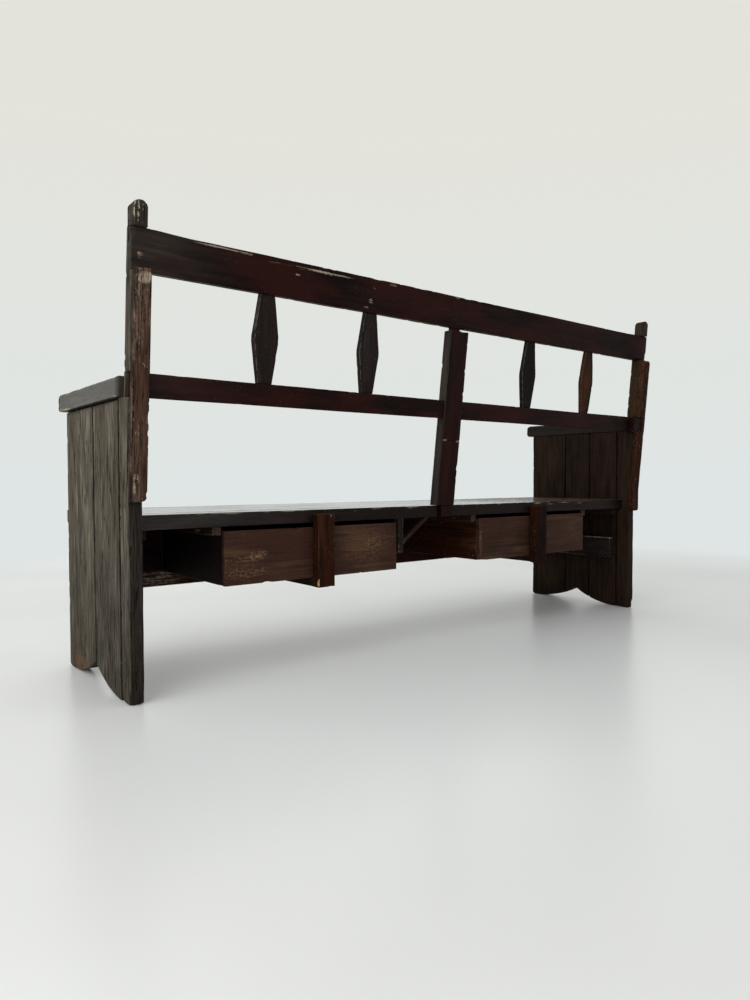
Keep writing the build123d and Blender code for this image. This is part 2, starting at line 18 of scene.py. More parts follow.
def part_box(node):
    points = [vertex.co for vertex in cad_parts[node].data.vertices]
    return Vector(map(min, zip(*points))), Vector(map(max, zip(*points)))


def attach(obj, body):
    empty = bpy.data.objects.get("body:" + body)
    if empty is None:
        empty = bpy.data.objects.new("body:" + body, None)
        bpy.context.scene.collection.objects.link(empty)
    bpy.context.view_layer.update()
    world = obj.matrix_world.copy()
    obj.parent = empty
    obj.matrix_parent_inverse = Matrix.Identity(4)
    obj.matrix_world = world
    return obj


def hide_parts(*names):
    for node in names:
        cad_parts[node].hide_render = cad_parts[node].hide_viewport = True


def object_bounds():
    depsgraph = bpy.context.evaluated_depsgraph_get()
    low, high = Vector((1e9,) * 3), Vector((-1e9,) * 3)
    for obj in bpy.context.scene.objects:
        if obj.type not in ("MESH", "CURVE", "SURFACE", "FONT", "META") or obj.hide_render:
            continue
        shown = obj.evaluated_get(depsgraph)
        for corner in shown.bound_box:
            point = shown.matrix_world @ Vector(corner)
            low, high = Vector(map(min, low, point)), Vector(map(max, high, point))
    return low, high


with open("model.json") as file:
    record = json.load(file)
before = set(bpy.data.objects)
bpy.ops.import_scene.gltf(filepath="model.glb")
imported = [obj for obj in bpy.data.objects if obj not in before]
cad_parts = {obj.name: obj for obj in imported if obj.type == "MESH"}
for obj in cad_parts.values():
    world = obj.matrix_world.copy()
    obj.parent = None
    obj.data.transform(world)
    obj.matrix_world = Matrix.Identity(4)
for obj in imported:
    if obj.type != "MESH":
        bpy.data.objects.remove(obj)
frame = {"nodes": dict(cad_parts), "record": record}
cad_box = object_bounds()

# %% [markdown]
# ## Camera
# The bench is seen from behind and from its right end, a little above the seat. The camera
# is set by its place, its turn about the upright axis, its tilt and its roll. The lens is
# worked out from the focal length in pixels, because the sensor width belongs to the long
# side of the picture, which is 1000 pixels high.

# %% Camera
def in_room(name, data):
    """Make an object of camera, mesh or lamp data and put it into the scene."""
    made = bpy.data.objects.new(name, data)
    bpy.context.scene.collection.objects.link(made)
    return made


picture_high = 1000
focal_pixels = 715.5
turn, tilt, roll = 0.66569, -0.02912, -0.00275

looking = Vector((-sin(turn) * cos(tilt), -cos(turn) * cos(tilt), sin(tilt)))
level = looking.cross(Vector((0, 0, 1))).normalized()
upward = level.cross(looking)
right = level * cos(roll) + upward * sin(roll)
up = upward * cos(roll) - level * sin(roll)

lens = bpy.data.cameras.new("camera")
lens.lens = focal_pixels / picture_high * lens.sensor_width
camera = in_room("camera", lens)
turned = Matrix((right, up, -looking)).transposed().to_4x4()
camera.matrix_world = Matrix.Translation((1.4719, 1.7244, 0.4843)) @ turned
bpy.context.scene.camera = camera
print("lens", round(lens.lens, 2), "mm")

# %% [markdown]
# ## Colours and nodes
# Colours are written as sRGB hex values, as a paint chart gives them, and one function turns
# them into the linear values that the renderer works with. One small function adds a node
# with its settings and its links, so that a material reads as a list of steps.

# %% Colours and nodes
def linear(code):
    """sRGB hex to linear RGBA: c / 12.92 up to 0.04045, above it ((c + 0.055) / 1.055) ** 2.4."""
    parts = [int(code[i : i + 2], 16) / 255 for i in (1, 3, 5)]
    return [c / 12.92 if c <= 0.04045 else ((c + 0.055) / 1.055) ** 2.4 for c in parts] + [1.0]


def node(tree, kind, *feeds, out=0, **settings):
    """Add a node and give back one output. Feeds go to its inputs in order, settings that
    start with a capital go to the input of that name, and the others are its properties."""
    made = tree.nodes.new("ShaderNode" + kind)
    feeds = dict(enumerate(feeds))
    for key, value in settings.items():
        if key[0].isupper():
            feeds[key.replace("_", " ")] = value
        else:
            setattr(made, key, value)
    for key, value in feeds.items():
        if isinstance(value, bpy.types.NodeSocket):
            tree.links.new(value, made.inputs[key])
        else:
            made.inputs[key].default_value = value
    return made.outputs[out] if made.outputs else made


def emptied(holder):
    """Clear the nodes of a material or a world and give back `node` bound to its tree."""
    holder.use_nodes = True
    holder.node_tree.nodes.clear()
    return partial(node, holder.node_tree)


def per_mm(width):
    """The texture scale whose features are about this many millimetres wide."""
    return 1000.0 / width


# %% [markdown]
# ## Old wood
# All the boards are one kind of thing, slow-grown pine, so they share one recipe. What
# differs is what lies on it: grey weather, dark red paint, brown varnish or nothing. Fine
# fibres and broader growth bands are noise drawn out along the grain. Splits are the thin
# contour lines of another drawn-out noise. Three painted marks steer the rest: rubbed edges,
# scrapes, and the dark stain that stays on the sides that no weather reaches. On a few boards
# the same three marks also carry painted light and painted shade.

# %% The recipe for old wood
# Each pattern: how wide its features are in mm, how far they are drawn out, its detail.
# Fibres are really 1 mm wide and are drawn at 3 mm, so that they still show.
wood_patterns = {
    "fibre": (3.0, 20.0, 4.0),
    "streak": (8.0, 18.0, 3.0),
    "band": (18.0, 9.0, 4.0),
    "blotch": (110.0, 2.2, 3.0),
    "hue": (75.0, 3.0, 3.0),
    "fine": (5.0, 1.6, 4.0),
    "dash": (4.5, 11.0, 2.0),
    "where_dash": (60.0, 1.5, 2.0),
    "contour": (30.0, 20.0, 3.0),
    "where_split": (80.0, 3.0, 2.0),
    "grit": (3.0, 2.5, 2.0),
    "where_grit": (55.0, 1.2, 2.0),
}


def old_wood(name, dark, mid, light, other, stain, worn, scrape, **kept):
    """Old wood: tones by growth bands, darker fibres, cracks, specks, stain, wear, scrapes.

    Rough, gloss and coat belong to the surface. Fibre, tone, crack, speck and relief say how
    strong each pattern is. Worn places follow the grain more with a higher streaky, have
    softer rims with a higher soft, and are less mottled with a higher even. A local finish
    reads the object's own coordinates instead of the grain."""
    look = dict(
        rough=0.6, gloss=0.15, coat=0.0, local=False, fibre=1.0, tone=1.0, crack=0.7,
        speck=0.4, relief=0.8, streaky=0.7, soft=0.72, even=0.22,
    )
    look.update(kept)
    material = bpy.data.materials.new(name)
    add = emptied(material)
    if look["local"]:
        where = add("TexCoord", out="Object")
    else:
        where = add("Attribute", attribute_name="grain", out="Vector")
    marks = add("Attribute", attribute_name="marks", out="Color")
    # The three marks: rubbed edges, scrapes and stain. On a few boards they also carry painted
    # light and painted shade.
    rubbed, scrape_and_painted_light, stain_and_painted_light = [add("SeparateColor", marks, out=n) for n in range(3)]

    noise = {}
    for key, (width, stretch, detail) in wood_patterns.items():
        drawn = add("VectorMath", where, (1 / stretch, 1, 1), operation="MULTIPLY")
        noise[key] = add("TexNoise", Vector=drawn, Scale=per_mm(width), Detail=detail)

    # Growth bands choose between the three tones. Stain covers them and lets the fibres show.
    bands = add("Math", noise["band"], noise["streak"], operation="ADD")
    bands = add("Math", bands, noise["blotch"], operation="ADD")
    tone = add("MapRange", bands, 1.5 - 0.3 / look["tone"], 1.5 + 0.3 / look["tone"])
    body = add("MixRGB", add("MapRange", tone, 0.0, 0.5), linear(dark), linear(mid))
    body = add("MixRGB", add("MapRange", tone, 0.5, 1.0), body, linear(light))
    body = add("MixRGB", add("MapRange", noise["hue"], 0.42, 0.6, 0.0, 0.85), body, linear(other))
    fibres = add(
        "MapRange", noise["fibre"], 0.33, 0.67, 1 - 0.42 * look["fibre"], 1 + 0.36 * look["fibre"]
    )
    shade = add("MapRange", tone, 0.0, 1.0, 0.65, 1.4)
    dim = add("MixRGB", 1.0, linear(stain), shade, blend_type="MULTIPLY")
    body = add("MixRGB", stain_and_painted_light, body, dim)
    body = add("MixRGB", 1.0, body, fibres, blend_type="MULTIPLY")

    # Cracks: short dashes in some areas, and long splits along the contour lines of a noise.
    level = add("Math", noise["contour"], 0.5, operation="SUBTRACT")
    thin = add("MapRange", add("Math", level, operation="ABSOLUTE"), 0.002, 0.010, 1.0, 0.0)
    here = add("MapRange", noise["where_split"], 0.5, 0.58)
    splits = add("Math", thin, here, operation="MULTIPLY")
    dashes = add("MapRange", noise["dash"], 0.60, 0.66)
    here = add("MapRange", noise["where_dash"], 0.43, 0.56)
    cracks = add("Math", dashes, here, splits, operation="MULTIPLY_ADD", use_clamp=True)
    cracks = add("Math", cracks, look["crack"], operation="MULTIPLY")
    body = add("MixRGB", cracks, body, linear("#0e0906"))

    # Specks of bare wood, fewer where the stain is thick.
    grit = add("MapRange", noise["grit"], 0.64, 0.7)
    here = add("MapRange", noise["where_grit"], 0.5, 0.62)
    specks = add("Math", grit, here, operation="MULTIPLY")
    kept_clean = add("Math", stain_and_painted_light, -0.8, 1.0, operation="MULTIPLY_ADD", use_clamp=True)
    specks = add("Math", specks, kept_clean, operation="MULTIPLY")
    specks = add("Math", specks, look["speck"], operation="MULTIPLY")
    body = add("MixRGB", specks, body, linear(scrape))

    # Rubbed and scraped places, both broken up by the same mottling.
    mottle = add("Math", noise["fibre"], look["streaky"], operation="MULTIPLY")
    mottle = add("Math", noise["fine"], 2 - look["streaky"], mottle, operation="MULTIPLY_ADD")
    ragged = add("MapRange", mottle, 1 - look["even"], 1 + look["even"], 0.1, 1.5)
    rub = add("MapRange", add("Math", rubbed, ragged, operation="MULTIPLY"), 0.3, look["soft"])
    scuff = add("MapRange", add("Math", scrape_and_painted_light, ragged, operation="MULTIPLY"), 0.3, look["soft"])
    body = add("MixRGB", rub, body, linear(worn))
    body = add("MixRGB", scuff, body, linear(scrape))

    # Relief of under a millimetre, and a roughness that follows the wear.
    height = add("Math", noise["fibre"], 0.4, operation="MULTIPLY")
    height = add("Math", noise["band"], 0.6, height, operation="MULTIPLY_ADD")
    height = add("Math", cracks, -0.9, height, operation="MULTIPLY_ADD")
    height = add("Math", scuff, -0.5, height, operation="MULTIPLY_ADD")
    bump = add("Bump", Height=height, Strength=look["relief"], Distance=0.0008)
    rough = add("MapRange", noise["fine"], 0.3, 0.7, look["rough"] - 0.1, look["rough"] + 0.1)
    rough = add("Math", rub, 0.15, rough, operation="MULTIPLY_ADD")
    finish = dict(Base_Color=body, Roughness=rough, Normal=bump)
    if look["coat"]:
        lost = add("Math", stain_and_painted_light, rub, operation="MAXIMUM")
        bare = add("Math", 1.0, lost, operation="SUBTRACT", use_clamp=True)
        polish = add("MapRange", noise["streak"], 0.38, 0.56, look["coat"] * 0.68, look["coat"])
        finish["Coat_Weight"] = add("Math", bare, polish, operation="MULTIPLY")
    surface = add(
        "BsdfPrincipled", Specular_IOR_Level=look["gloss"], Coat_Roughness=0.11, **finish
    )
    add("OutputMaterial", surface)
    return material


# %% [markdown]
# ## The finishes
# The outer sides of the ends have stood bare and weathered to grey. Rails, middle post and
# front were painted a dark ox-blood red that is nearly black where it is thick and shows pale
# wood where it has chipped. The battens at the back kept a red-brown stain. The seat is
# polished by use and holds a worn varnish, so it mirrors the room at a shallow angle. The
# drawer boxes were only washed with a thin colour. Each row gives three tones, a second hue
# that comes in patches, the stain, the worn edge and the bare scrape.

# %% The finishes
# Pine gone grey: dull, with raised grain and open cracks, still dark on its inner sides.
grey_pine = old_wood(
    "weathered_grey_pine",
    "#37322a", "#5b5549", "#7a7365", "#4f463a", "#27231f", "#634b36", "#a3967f",
    rough=0.8, gloss=0.08, fibre=1.5, crack=1.0, speck=0.5, relief=1.0,
)
# The same pine where it never saw weather: brown-black, a little greasy.
shaded_pine = old_wood(
    "shaded_brown_pine",
    "#37322a", "#5b5549", "#7a7365", "#51473c", "#221710", "#42301f", "#75654f",
    rough=0.7, gloss=0.06, fibre=0.6, crack=0.8, speck=0.15, tone=1.5, soft=1.0, even=0.4,
)
# Pine handled for generations: smooth and grey, with pale bruises on its edges.
# Its pale worn colour also paints a sheen on the armrests' tops.
arm_pine = old_wood(
    "handled_grey_pine",
    "#504d48", "#5b5853", "#63605d", "#54514c", "#1c1613", "#878074", "#b0a898",
    gloss=0.12, fibre=0.22, crack=0.2, speck=0.12, relief=0.3, streaky=1.6, soft=1.05, even=0.15,
)
# Ox-blood distemper under old varnish: nearly black, slightly glossy, chipped at its edges.
# Its paler stain colour paints light on the rails' right ends; its worn and scrape colours paint
# the lower rail's lit patches.
oxblood = old_wood(
    "oxblood_paint",
    "#0f0605", "#160908", "#200f0c", "#2a100c", "#332d29", "#47301f", "#9c8c7c",
    rough=0.5, gloss=0.05, fibre=0.35, tone=1.2, crack=0.3, speck=0.12, relief=0.4,
    soft=0.85, even=0.28, streaky=1.35,
)
# Red-brown stain, rubbed down to the wood along the battens.
redbrown = old_wood(
    "redbrown_stain",
    "#31211a", "#4c3b31", "#655446", "#463025", "#1f130e", "#6f5c4b", "#9a8a77",
    rough=0.65, gloss=0.08, fibre=1.35, tone=1.2, crack=0.9, speck=0.6, soft=0.95, even=0.35,
    streaky=1.1,
)
# Dark red stain of the hanging battens, hardly worn.
darkred = old_wood(
    "dark_red_stain",
    "#160a06", "#24120b", "#3a2013", "#2d1108", "#1c0e0a", "#4d3525", "#b8a06c",
    gloss=0.03, fibre=0.7, crack=0.5, speck=0.3, relief=0.6, soft=1.0, even=0.4,
)
# Dark grey-brown slats, cut with a knife and left with a dull oil finish.
slat_oil = old_wood(
    "dark_oiled_pine",
    "#161311", "#1f1a18", "#2a2522", "#241a17", "#151110", "#57504a", "#8f8478",
    gloss=0.05, fibre=0.6, crack=0.4, speck=0.25, relief=0.5,
)
# A later slat in warmer wood.
warm_slat_oil = old_wood(
    "warm_oiled_pine",
    "#1e1009", "#301c0f", "#462a14", "#38190c", "#1c0f0a", "#5a4734", "#95806a",
    rough=0.55, gloss=0.05, fibre=0.7, crack=0.4, speck=0.25, relief=0.5,
)
# Varnished seat, scoured and polished by use: a hard coat over brown pine.
seat_varnish = old_wood(
    "worn_seat_varnish",
    "#1b120e", "#2e211b", "#413228", "#3a2f29", "#160d0a", "#49392d", "#93836d",
    rough=0.45, gloss=0.08, coat=1.0, fibre=0.7, crack=0.8, speck=0.1, relief=0.4,
    streaky=1.3, soft=1.0, even=0.32,
)
# Boards of the under-frame, brown-black: painted shade for the dim space under the seat.
underseat_shade_pine = old_wood(
    "underseat_shade_pine",
    "#130c08", "#21150f", "#33231a", "#2b170e", "#140c09", "#473a30", "#867a69",
    rough=0.7, gloss=0.07, speck=0.3,
)
# Bare boards inside, brown with dust.
bare_pine = old_wood(
    "bare_brown_pine",
    "#2b1d15", "#443125", "#5c4434", "#4a2f20", "#20140e", "#6e5a47", "#b0a08a",
    rough=0.75, gloss=0.08,
)
# Drawer boxes: planed pine under a thin reddish wash, with pale bruises.
drawer_pine = old_wood(
    "washed_drawer_pine",
    "#2b1b13", "#3b281e", "#4b3526", "#38211a", "#120806", "#5a4230", "#7b5c46",
    rough=0.65, gloss=0.09, fibre=0.25, tone=1.1, crack=0.25, speck=0.3, relief=0.35,
    streaky=0.5, soft=1.05, even=0.42,
)
# Pegs and dowels, with end grain darkened by oil.
peg_pine = old_wood(
    "peg_pine",
    "#2a1e17", "#4a3a30", "#615043", "#4d3426", "#20140e", "#86705a", "#a8957c", local=True,
)
# Draw pegs in the back, newer and paler than the rails.
pale_peg_pine = old_wood(
    "pale_peg_pine",
    "#5c483c", "#7d6555", "#97806e", "#6d5344", "#20140e", "#86705a", "#b3a08c", local=True,
)
print("wood finishes", len(bpy.data.materials))

# %% Rusty nails
# Hand-forged iron, brown with dry rust.
rusty_iron = bpy.data.materials.new("rusty_iron")
add = emptied(rusty_iron)
rust = add("TexNoise", Vector=add("TexCoord", out="Object"), Scale=per_mm(1.5), Detail=4.0)
tint = add("MixRGB", add("MapRange", rust, 0.4, 0.6), linear("#1d1613"), linear("#46291b"))
add("OutputMaterial", add("BsdfPrincipled", Base_Color=tint, Metallic=0.4, Roughness=0.7))

# %% [markdown]
# ## Surfaces
# A board is a grid laid over the six sides of a box, with its lines drawn closer at the
# edges. Rounding is one formula: shrink the box by the radius, and set every point at that
# radius from the shrunk box. Let the radius wander and the edge looks worn; push points in
# along the same direction and it is chipped.

# %% Random values on a grid
def wander(points, size, seed):
    """Smooth values from -1 to 1 that change over `size`.

    Random numbers stand on the corners of a grid. A value blends the eight corners round it
    with the weight 3t^2 - 2t^3 along each axis."""
    cells = points / size
    low = np.floor(cells).astype(np.int64)
    part = cells - low
    part = part * part * (3 - 2 * part)
    total = np.zeros(len(points))
    for corner in np.ndindex(2, 2, 2):
        key = ((low + corner) * (73856093, 19349663, 83492791)).sum(axis=1) + seed * 7919
        key = ((key ^ (key >> 13)) * 1274126177) & 0xFFFFFFFF
        value = ((key ^ (key >> 16)) & 0xFFFF) / 32767.5 - 1
        total += np.where(corner, part, 1 - part).prod(axis=1) * value
    return total


def eased(values, low, high):
    """0 below low, 1 above high, and 3t^2 - 2t^3 between them."""
    t = np.clip((values - low) / (high - low), 0, 1)
    return t * t * (3 - 2 * t)


# %% A grid over a box
def spaced(length, step, radius, extra=()):
    """Places along one side: rims at 0, 0.3, 0.6, 1 and 2 radii, even steps between them."""
    rim = radius * np.array([0, 0.3, 0.6, 1.0, 2.0])
    if length < 4.4 * radius:
        rim = np.linspace(0, length / 2, 4)
    count = max(int((length - 2 * rim[-1]) / step), 1) + 1
    middle = np.linspace(rim[-1], length - rim[-1], count)
    return np.unique(np.round(np.concatenate([rim, middle, length - rim, list(extra)]), 6))


def doubled(places, gap=0.0002):
    """Two grid lines close to each place, so that a step there stays a step."""
    return [at + shift for at in places for shift in (-gap, gap)]


def shell(lines):
    """The six sides of a box as one closed surface of quads that share their edges."""
    counts = tuple(len(line) for line in lines)
    quads = []
    for axis in range(3):
        first, second = (axis + 1) % 3, (axis + 2) % 3
        cells = np.meshgrid(np.arange(counts[first] - 1), np.arange(counts[second] - 1))
        i, j = cells[0].ravel(), cells[1].ravel()
        for end in (0, counts[axis] - 1):
            ring = ((0, 0), (1, 0), (1, 1), (0, 1)) if end else ((0, 0), (0, 1), (1, 1), (1, 0))
            corners = []
            for di, dj in ring:
                index = [np.full(i.size, end)] * 3
                index[first], index[second] = i + di, j + dj
                corners.append(np.ravel_multi_index(index, counts))
            quads.append(np.stack(corners, axis=1))
    used, faces = np.unique(np.concatenate(quads), return_inverse=True)
    places = np.unravel_index(used, counts)
    points = np.stack([line[place] for line, place in zip(lines, places)], axis=1)
    return points, faces.reshape(-1, 4)


# %% From arrays to a piece
def to_piece(name, points, faces, grain, marks, material):
    """Put the arrays into a mesh, turned outwards: the volume under its quads is positive."""
    a, b, c, d = ((points - points.mean(axis=0))[faces[:, n]] for n in range(4))
    if (np.cross(c - a, d - b) * (a + b + c + d)).sum() < 0:
        faces = faces[:, ::-1]
    mesh = bpy.data.meshes.new(name)
    mesh.vertices.add(len(points))
    mesh.vertices.foreach_set("co", points.astype(np.float32).ravel())
    mesh.loops.add(faces.size)
    mesh.loops.foreach_set("vertex_index", faces.astype(np.int32).ravel())
    mesh.polygons.add(len(faces))
    mesh.polygons.foreach_set("loop_start", np.arange(0, faces.size, 4, dtype=np.int32))
    mesh.update(calc_edges=True)
    mesh.shade_smooth()
    marks = np.concatenate([np.clip(marks, 0, 1), np.ones((len(marks), 1))], axis=1)
    along = mesh.attributes.new("grain", "FLOAT_VECTOR", "POINT")
    along.data.foreach_set("vector", grain.astype(np.float32).ravel())
    painted = mesh.attributes.new("marks", "FLOAT_COLOR", "POINT")
    painted.data.foreach_set("color", marks.astype(np.float32).ravel())
    mesh.materials.append(material)
    return in_room(name, mesh)


# %% [markdown]
# ## A board
# Every board is described in its own frame: along the grain, across it and through the
# thickness. Another function then carries those three lengths into the room, straight for
# most boards, leaning for the back, arched at the feet. Lists of spots say where it is
# scraped or broken, and on a few boards where light is painted: a spot is a centre, three
# reaches and a strength.

# %% A worn board in its own frame
def spotted(points, spots):
    """Sum of soft spots: strength * (1 - r^2), where r is the distance in reaches."""
    total = np.zeros(len(points))
    for centre, reach, strength in spots:
        r = ((points - centre) / reach) ** 2
        total += strength * np.clip(1 - r.sum(axis=1), 0, 1)
    return total


def worn_board(size, seed, radius=0.002, step=0.008, lines=((), (), ()), **wear):
    """A board of a size: rounded by a wandering radius, waved, chipped and marked.

    point = shrunk + direction * (radius - waves - chips - dents)."""
    look = dict(
        rub=0.7, reach=0.004, chip=0.0012, wave=0.0003, power=2.0, grow=None,
        rubs=(), scrapes=(), dents=(), stain=None, knots=(), torn=None,
    )
    look.update(wear)
    size = np.array(size)
    sharp, faces = shell([spaced(size[n], step, radius, lines[n]) for n in range(3)])
    edge = np.sort(np.minimum(sharp, size - sharp), axis=1)[:, 1]
    offset = np.array([seed * 3.1, seed * 1.7, seed * 0.9])
    ragged = wander(sharp + offset, 0.045, seed)
    rounding = radius * (1 + 0.4 * ragged)
    if look["grow"] is not None:
        rounding = rounding * look["grow"](sharp)
    rounding = np.minimum(rounding, size.min() * 0.49)[:, None]
    shrunk = np.clip(sharp, rounding, size - rounding)
    away = sharp - shrunk
    away /= ((np.abs(away) ** look["power"]).sum(axis=1) ** (1 / look["power"]))[:, None]
    near_edge = 1 - eased(edge, 0, 0.009)
    chips = eased(wander(sharp + offset, 0.013, seed + 5), 0.35, 0.75) * near_edge * look["chip"]
    waves = (1 + wander(sharp + offset, np.array([0.16, 0.05, 0.05]), seed + 9)) * look["wave"]
    deep = chips + waves + np.maximum(spotted(sharp, look["dents"]), 0)
    if look["torn"] is not None:
        deep = deep + look["torn"](sharp)
    deep = np.minimum(deep, size.min() * 0.45)[:, None]
    points = shrunk + away * (rounding - deep)
    patchy = 0.3 + 0.7 * eased(wander(sharp + offset, 0.07, seed + 3), -0.4, 0.4)
    rubbing = look["rub"] * patchy * (1 - eased(edge, 0, look["reach"] * (1.2 + ragged)))
    rubbing = rubbing + eased(chips, 0.0003, 0.001) * 0.4 * look["rub"]
    stain = np.zeros(len(sharp)) if look["stain"] is None else look["stain"](sharp)
    grain = sharp + offset
    for centre, reach in look["knots"]:
        aside = (sharp - centre) / reach
        core = np.exp(-(aside**2).sum(axis=1))
        grain[:, 1] -= 0.9 * aside[:, 1] * reach[1] * core
        stain = stain + 0.8 * np.clip(core * 3 - 1.6, 0, 1)
    rubbing = rubbing + spotted(sharp, look["rubs"])
    marks = np.stack([rubbing, spotted(sharp, look["scrapes"]), stain], axis=1)
    return points, faces, grain, marks


# %% A piece that rides with its body
owner = {n: b for b, names in frame["record"]["behaviour"]["bodies"].items() for n in names}
made_counts = {"pieces": 0, "quads": 0}


def finished(node_name, arrays, material):
    """Make the piece, hide the CAD node it stands for and let it ride on that node's body."""
    piece = to_piece("old_" + node_name, *arrays, material)
    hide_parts(node_name)
    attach(piece, owner[node_name])
    made_counts["pieces"] += 1
    made_counts["quads"] += len(arrays[1])


def measured(node_name):
    """The lowest corner of a CAD node and its size, in metres."""
    low, high = (np.array(corner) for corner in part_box(node_name))
    return low, high - low


# %% [markdown]
# ## Straight boards
# Most boards lie along one axis of the room. Their sizes are read from the CAD nodes, so a
# board needs only its finish and its scars. The order of axes says which way the grain runs,
# then which way the width lies.

# %% Straight boards
def straight(node_name, order, seed, swell=0.0, wider=(0, 0, 0), thicker=(0, 0, 0), **wear):
    """A board in its CAD node's box. Order lists the room's axes along, across and through."""
    low, size = measured(node_name)
    low, size = low - wider, size + wider + thicker
    axes = ["xyz".index(letter) for letter in order]
    points, *rest = worn_board(size[axes], seed, **wear)
    points[:, 0] += swell * (2 * points[:, 0] / size[axes[0]] - 1)
    placed = np.empty_like(points)
    placed[:, axes] = points
    return placed + low, *rest


def all_over(points):
    """Stain everywhere."""
    return np.ones(len(points))


# Scars are spots in the board's own lengths: along the grain, across it, through it.
frayed_scars = {
    "chip": 0.0018, "thicker": (0.012, 0.003, 0), "rub": 0.35,
    "scrapes": [((0.182, 0.030, 0.027), (0.004, 0.020, 0.010), 0.55)],
    "rubs": [((0.09, 0.056, 0.015), (0.12, 0.006, 0.03), 0.45)],
    "stain": lambda sharp: 0.95 * (1 - eased(sharp[:, 1], 0.050, 0.053)),
}
# Pale end grain on the bearers, a frayed top and a chipped foot on the hanging battens.
bearer_scars = {"rub": 0.8, "rubs": [((0.415, 0.011, 0.012), (0.004, 0.03, 0.03), 1.6)]}
hanging_scars = {
    "chip": 0.002, "wider": (0.009, 0, 0), "thicker": (0, 0.003, 0),
    "scrapes": [
        ((0.012, 0.050, 0.027), (0.014, 0.003, 0.008), 1.5),
        ((0.183, 0.014, 0.027), (0.004, 0.004, 0.008), 0.9),
        ((0.180, 0.028, 0.027), (0.003, 0.005, 0.006), 0.9),
        ((0.181, 0.044, 0.027), (0.004, 0.003, 0.006), 0.9),
        ((0.090, 0.001, 0.027), (0.006, 0.003, 0.006), 1.0),
    ],
}
# Left ledger: worn edges, plus a pale patch on its inner face at the rear end and a pale line
# along its top, both painted light.
ledger_wear_and_light = {
    "rub": 0.9, "reach": 0.005, "rubs": [((0.400, 0.04, 0.03), (0.012, 0.06, 0.03), 0.7)],
    "scrapes": [((0.3, 0.075, 0.030), (0.40, 0.005, 0.04), 0.9)],
}
seat_wear = {"rub": 0.4, "chip": 0.0006, "rubs": [((0.15, 0.05, 0.017), (0.75, 0.4, 0.01), 1.0)]}
# Front lower rail: worn, chipped edges, and pale patches that are painted light: the light falling
# on its rear face through the right end's arch, and between the drawers.
lower_rail_wear_and_light = {
    "rub": 0.9, "chip": 0.0018,
    "scrapes": [((1.66, 0.03, 0.035), (0.13, 0.07, 0.04), 0.62)],
    "rubs": [
        ((1.62, 0.02, 0.035), (0.12, 0.04, 0.03), 0.9),
        ((1.06, 0.02, 0.035), (0.06, 0.03, 0.03), 0.6),
    ],
}
straight_boards = [
    ("fixed_seat_board_1", "xyz", bare_pine, {}),
    ("fixed_seat_board_2", "xyz", bare_pine, {}),
    ("leaf_board_1", "xyz", seat_varnish, seat_wear),
    ("leaf_board_2", "xyz", seat_varnish, seat_wear),
    ("front_lower_rail", "xzy", oxblood, lower_rail_wear_and_light),
    ("right_ledger", "yzx", underseat_shade_pine, {}),
    ("left_ledger", "yzx", slat_oil, ledger_wear_and_light),
    ("right_seat_cleat", "yxz", underseat_shade_pine, {}),
    ("left_seat_cleat", "yxz", underseat_shade_pine, {"rub": 1.0}),
    ("right_drawer_runner", "yxz", underseat_shade_pine, {}),
    ("left_drawer_runner", "yxz", underseat_shade_pine, {}),
    ("guide_hanger", "zxy", slat_oil, {"stain": lambda sharp: 0.6 * all_over(sharp)}),
    ("right_hanging_batten", "zxy", darkred, hanging_scars),
    ("left_hanging_batten", "zxy", darkred, frayed_scars),
]
for number in range(1, 5):
    straight_boards.append((f"leaf_bearer_{number}", "yzx", underseat_shade_pine, bearer_scars))
drawer_scars = {
    "right": {
        "step": 0.004, "chip": 0.004,
        "scrapes": [
            ((0.437, 0.072, 0.014), (0.040, 0.022, 0.01), 0.62),
            ((0.485, 0.062, 0.014), (0.060, 0.012, 0.01), 0.52),
            ((0.490, 0.026, 0.014), (0.060, 0.028, 0.01), 0.50),
            ((0.425, 0.030, 0.014), (0.040, 0.020, 0.01), 0.45),
            ((0.090, 0.075, 0.014), (0.060, 0.050, 0.01), 0.45),
        ],
        "rubs": [
            ((0.110, 0.075, 0.014), (0.130, 0.090, 0.01), 0.75),
            ((0.480, 0.045, 0.014), (0.090, 0.060, 0.01), 0.60),
        ],
        "dents": [((0.415, 0.0, 0.014), (0.012, 0.006, 0.02), 0.004)],
    },
    "left": {
        "step": 0.004, "chip": 0.004,
        "scrapes": [((0.525, 0.060, 0.014), (0.012, 0.080, 0.01), 0.60)],
        "dents": [((0.530, 0.0, 0.014), (0.030, 0.010, 0.02), 0.006)],
    },
}
drawer_sides = {
    "right": (drawer_pine, {"stain": all_over}),
    "left": (darkred, {"rubs": [((0.36, 0.05, 0.01), (0.10, 0.05, 0.02), 0.55)]}),
}
for name in ("right", "left"):
    straight_boards += [
        (name + "_drawer_front", "xzy", oxblood, {"rub": 0.9, "swell": 0.0012}),
        (name + "_drawer_back", "xzy", drawer_pine, drawer_scars[name]),
        (name + "_drawer_right_side", "yzx", *drawer_sides[name]),
        (name + "_drawer_left_side", "yzx", drawer_pine, {"stain": all_over}),
        (name + "_drawer_bottom", "xyz", bare_pine, {}),
    ]
for seed, (name, order, material, wear) in enumerate(straight_boards, start=1):
    finished(name, straight(name, order, seed, **wear), material)
print(made_counts)

# %% [markdown]
# ## The leaning back
# Above the seat the rear posts lean back by five and a quarter degrees, and everything
# fixed to them leans too. One function turns a depth in front of the leaning rear face and a
# distance up it into the room's lengths.

# %% The leaning frame of the back
lean = radians(5.25)
kink_z = 0.440
post_wide, post_deep = 0.033, 0.052
post_low, post_size = measured("right_rear_post")
inner_half, half_length = post_low[0], post_low[0] + post_size[0]
post_top = post_size[2]
back_y = post_low[1] + post_deep


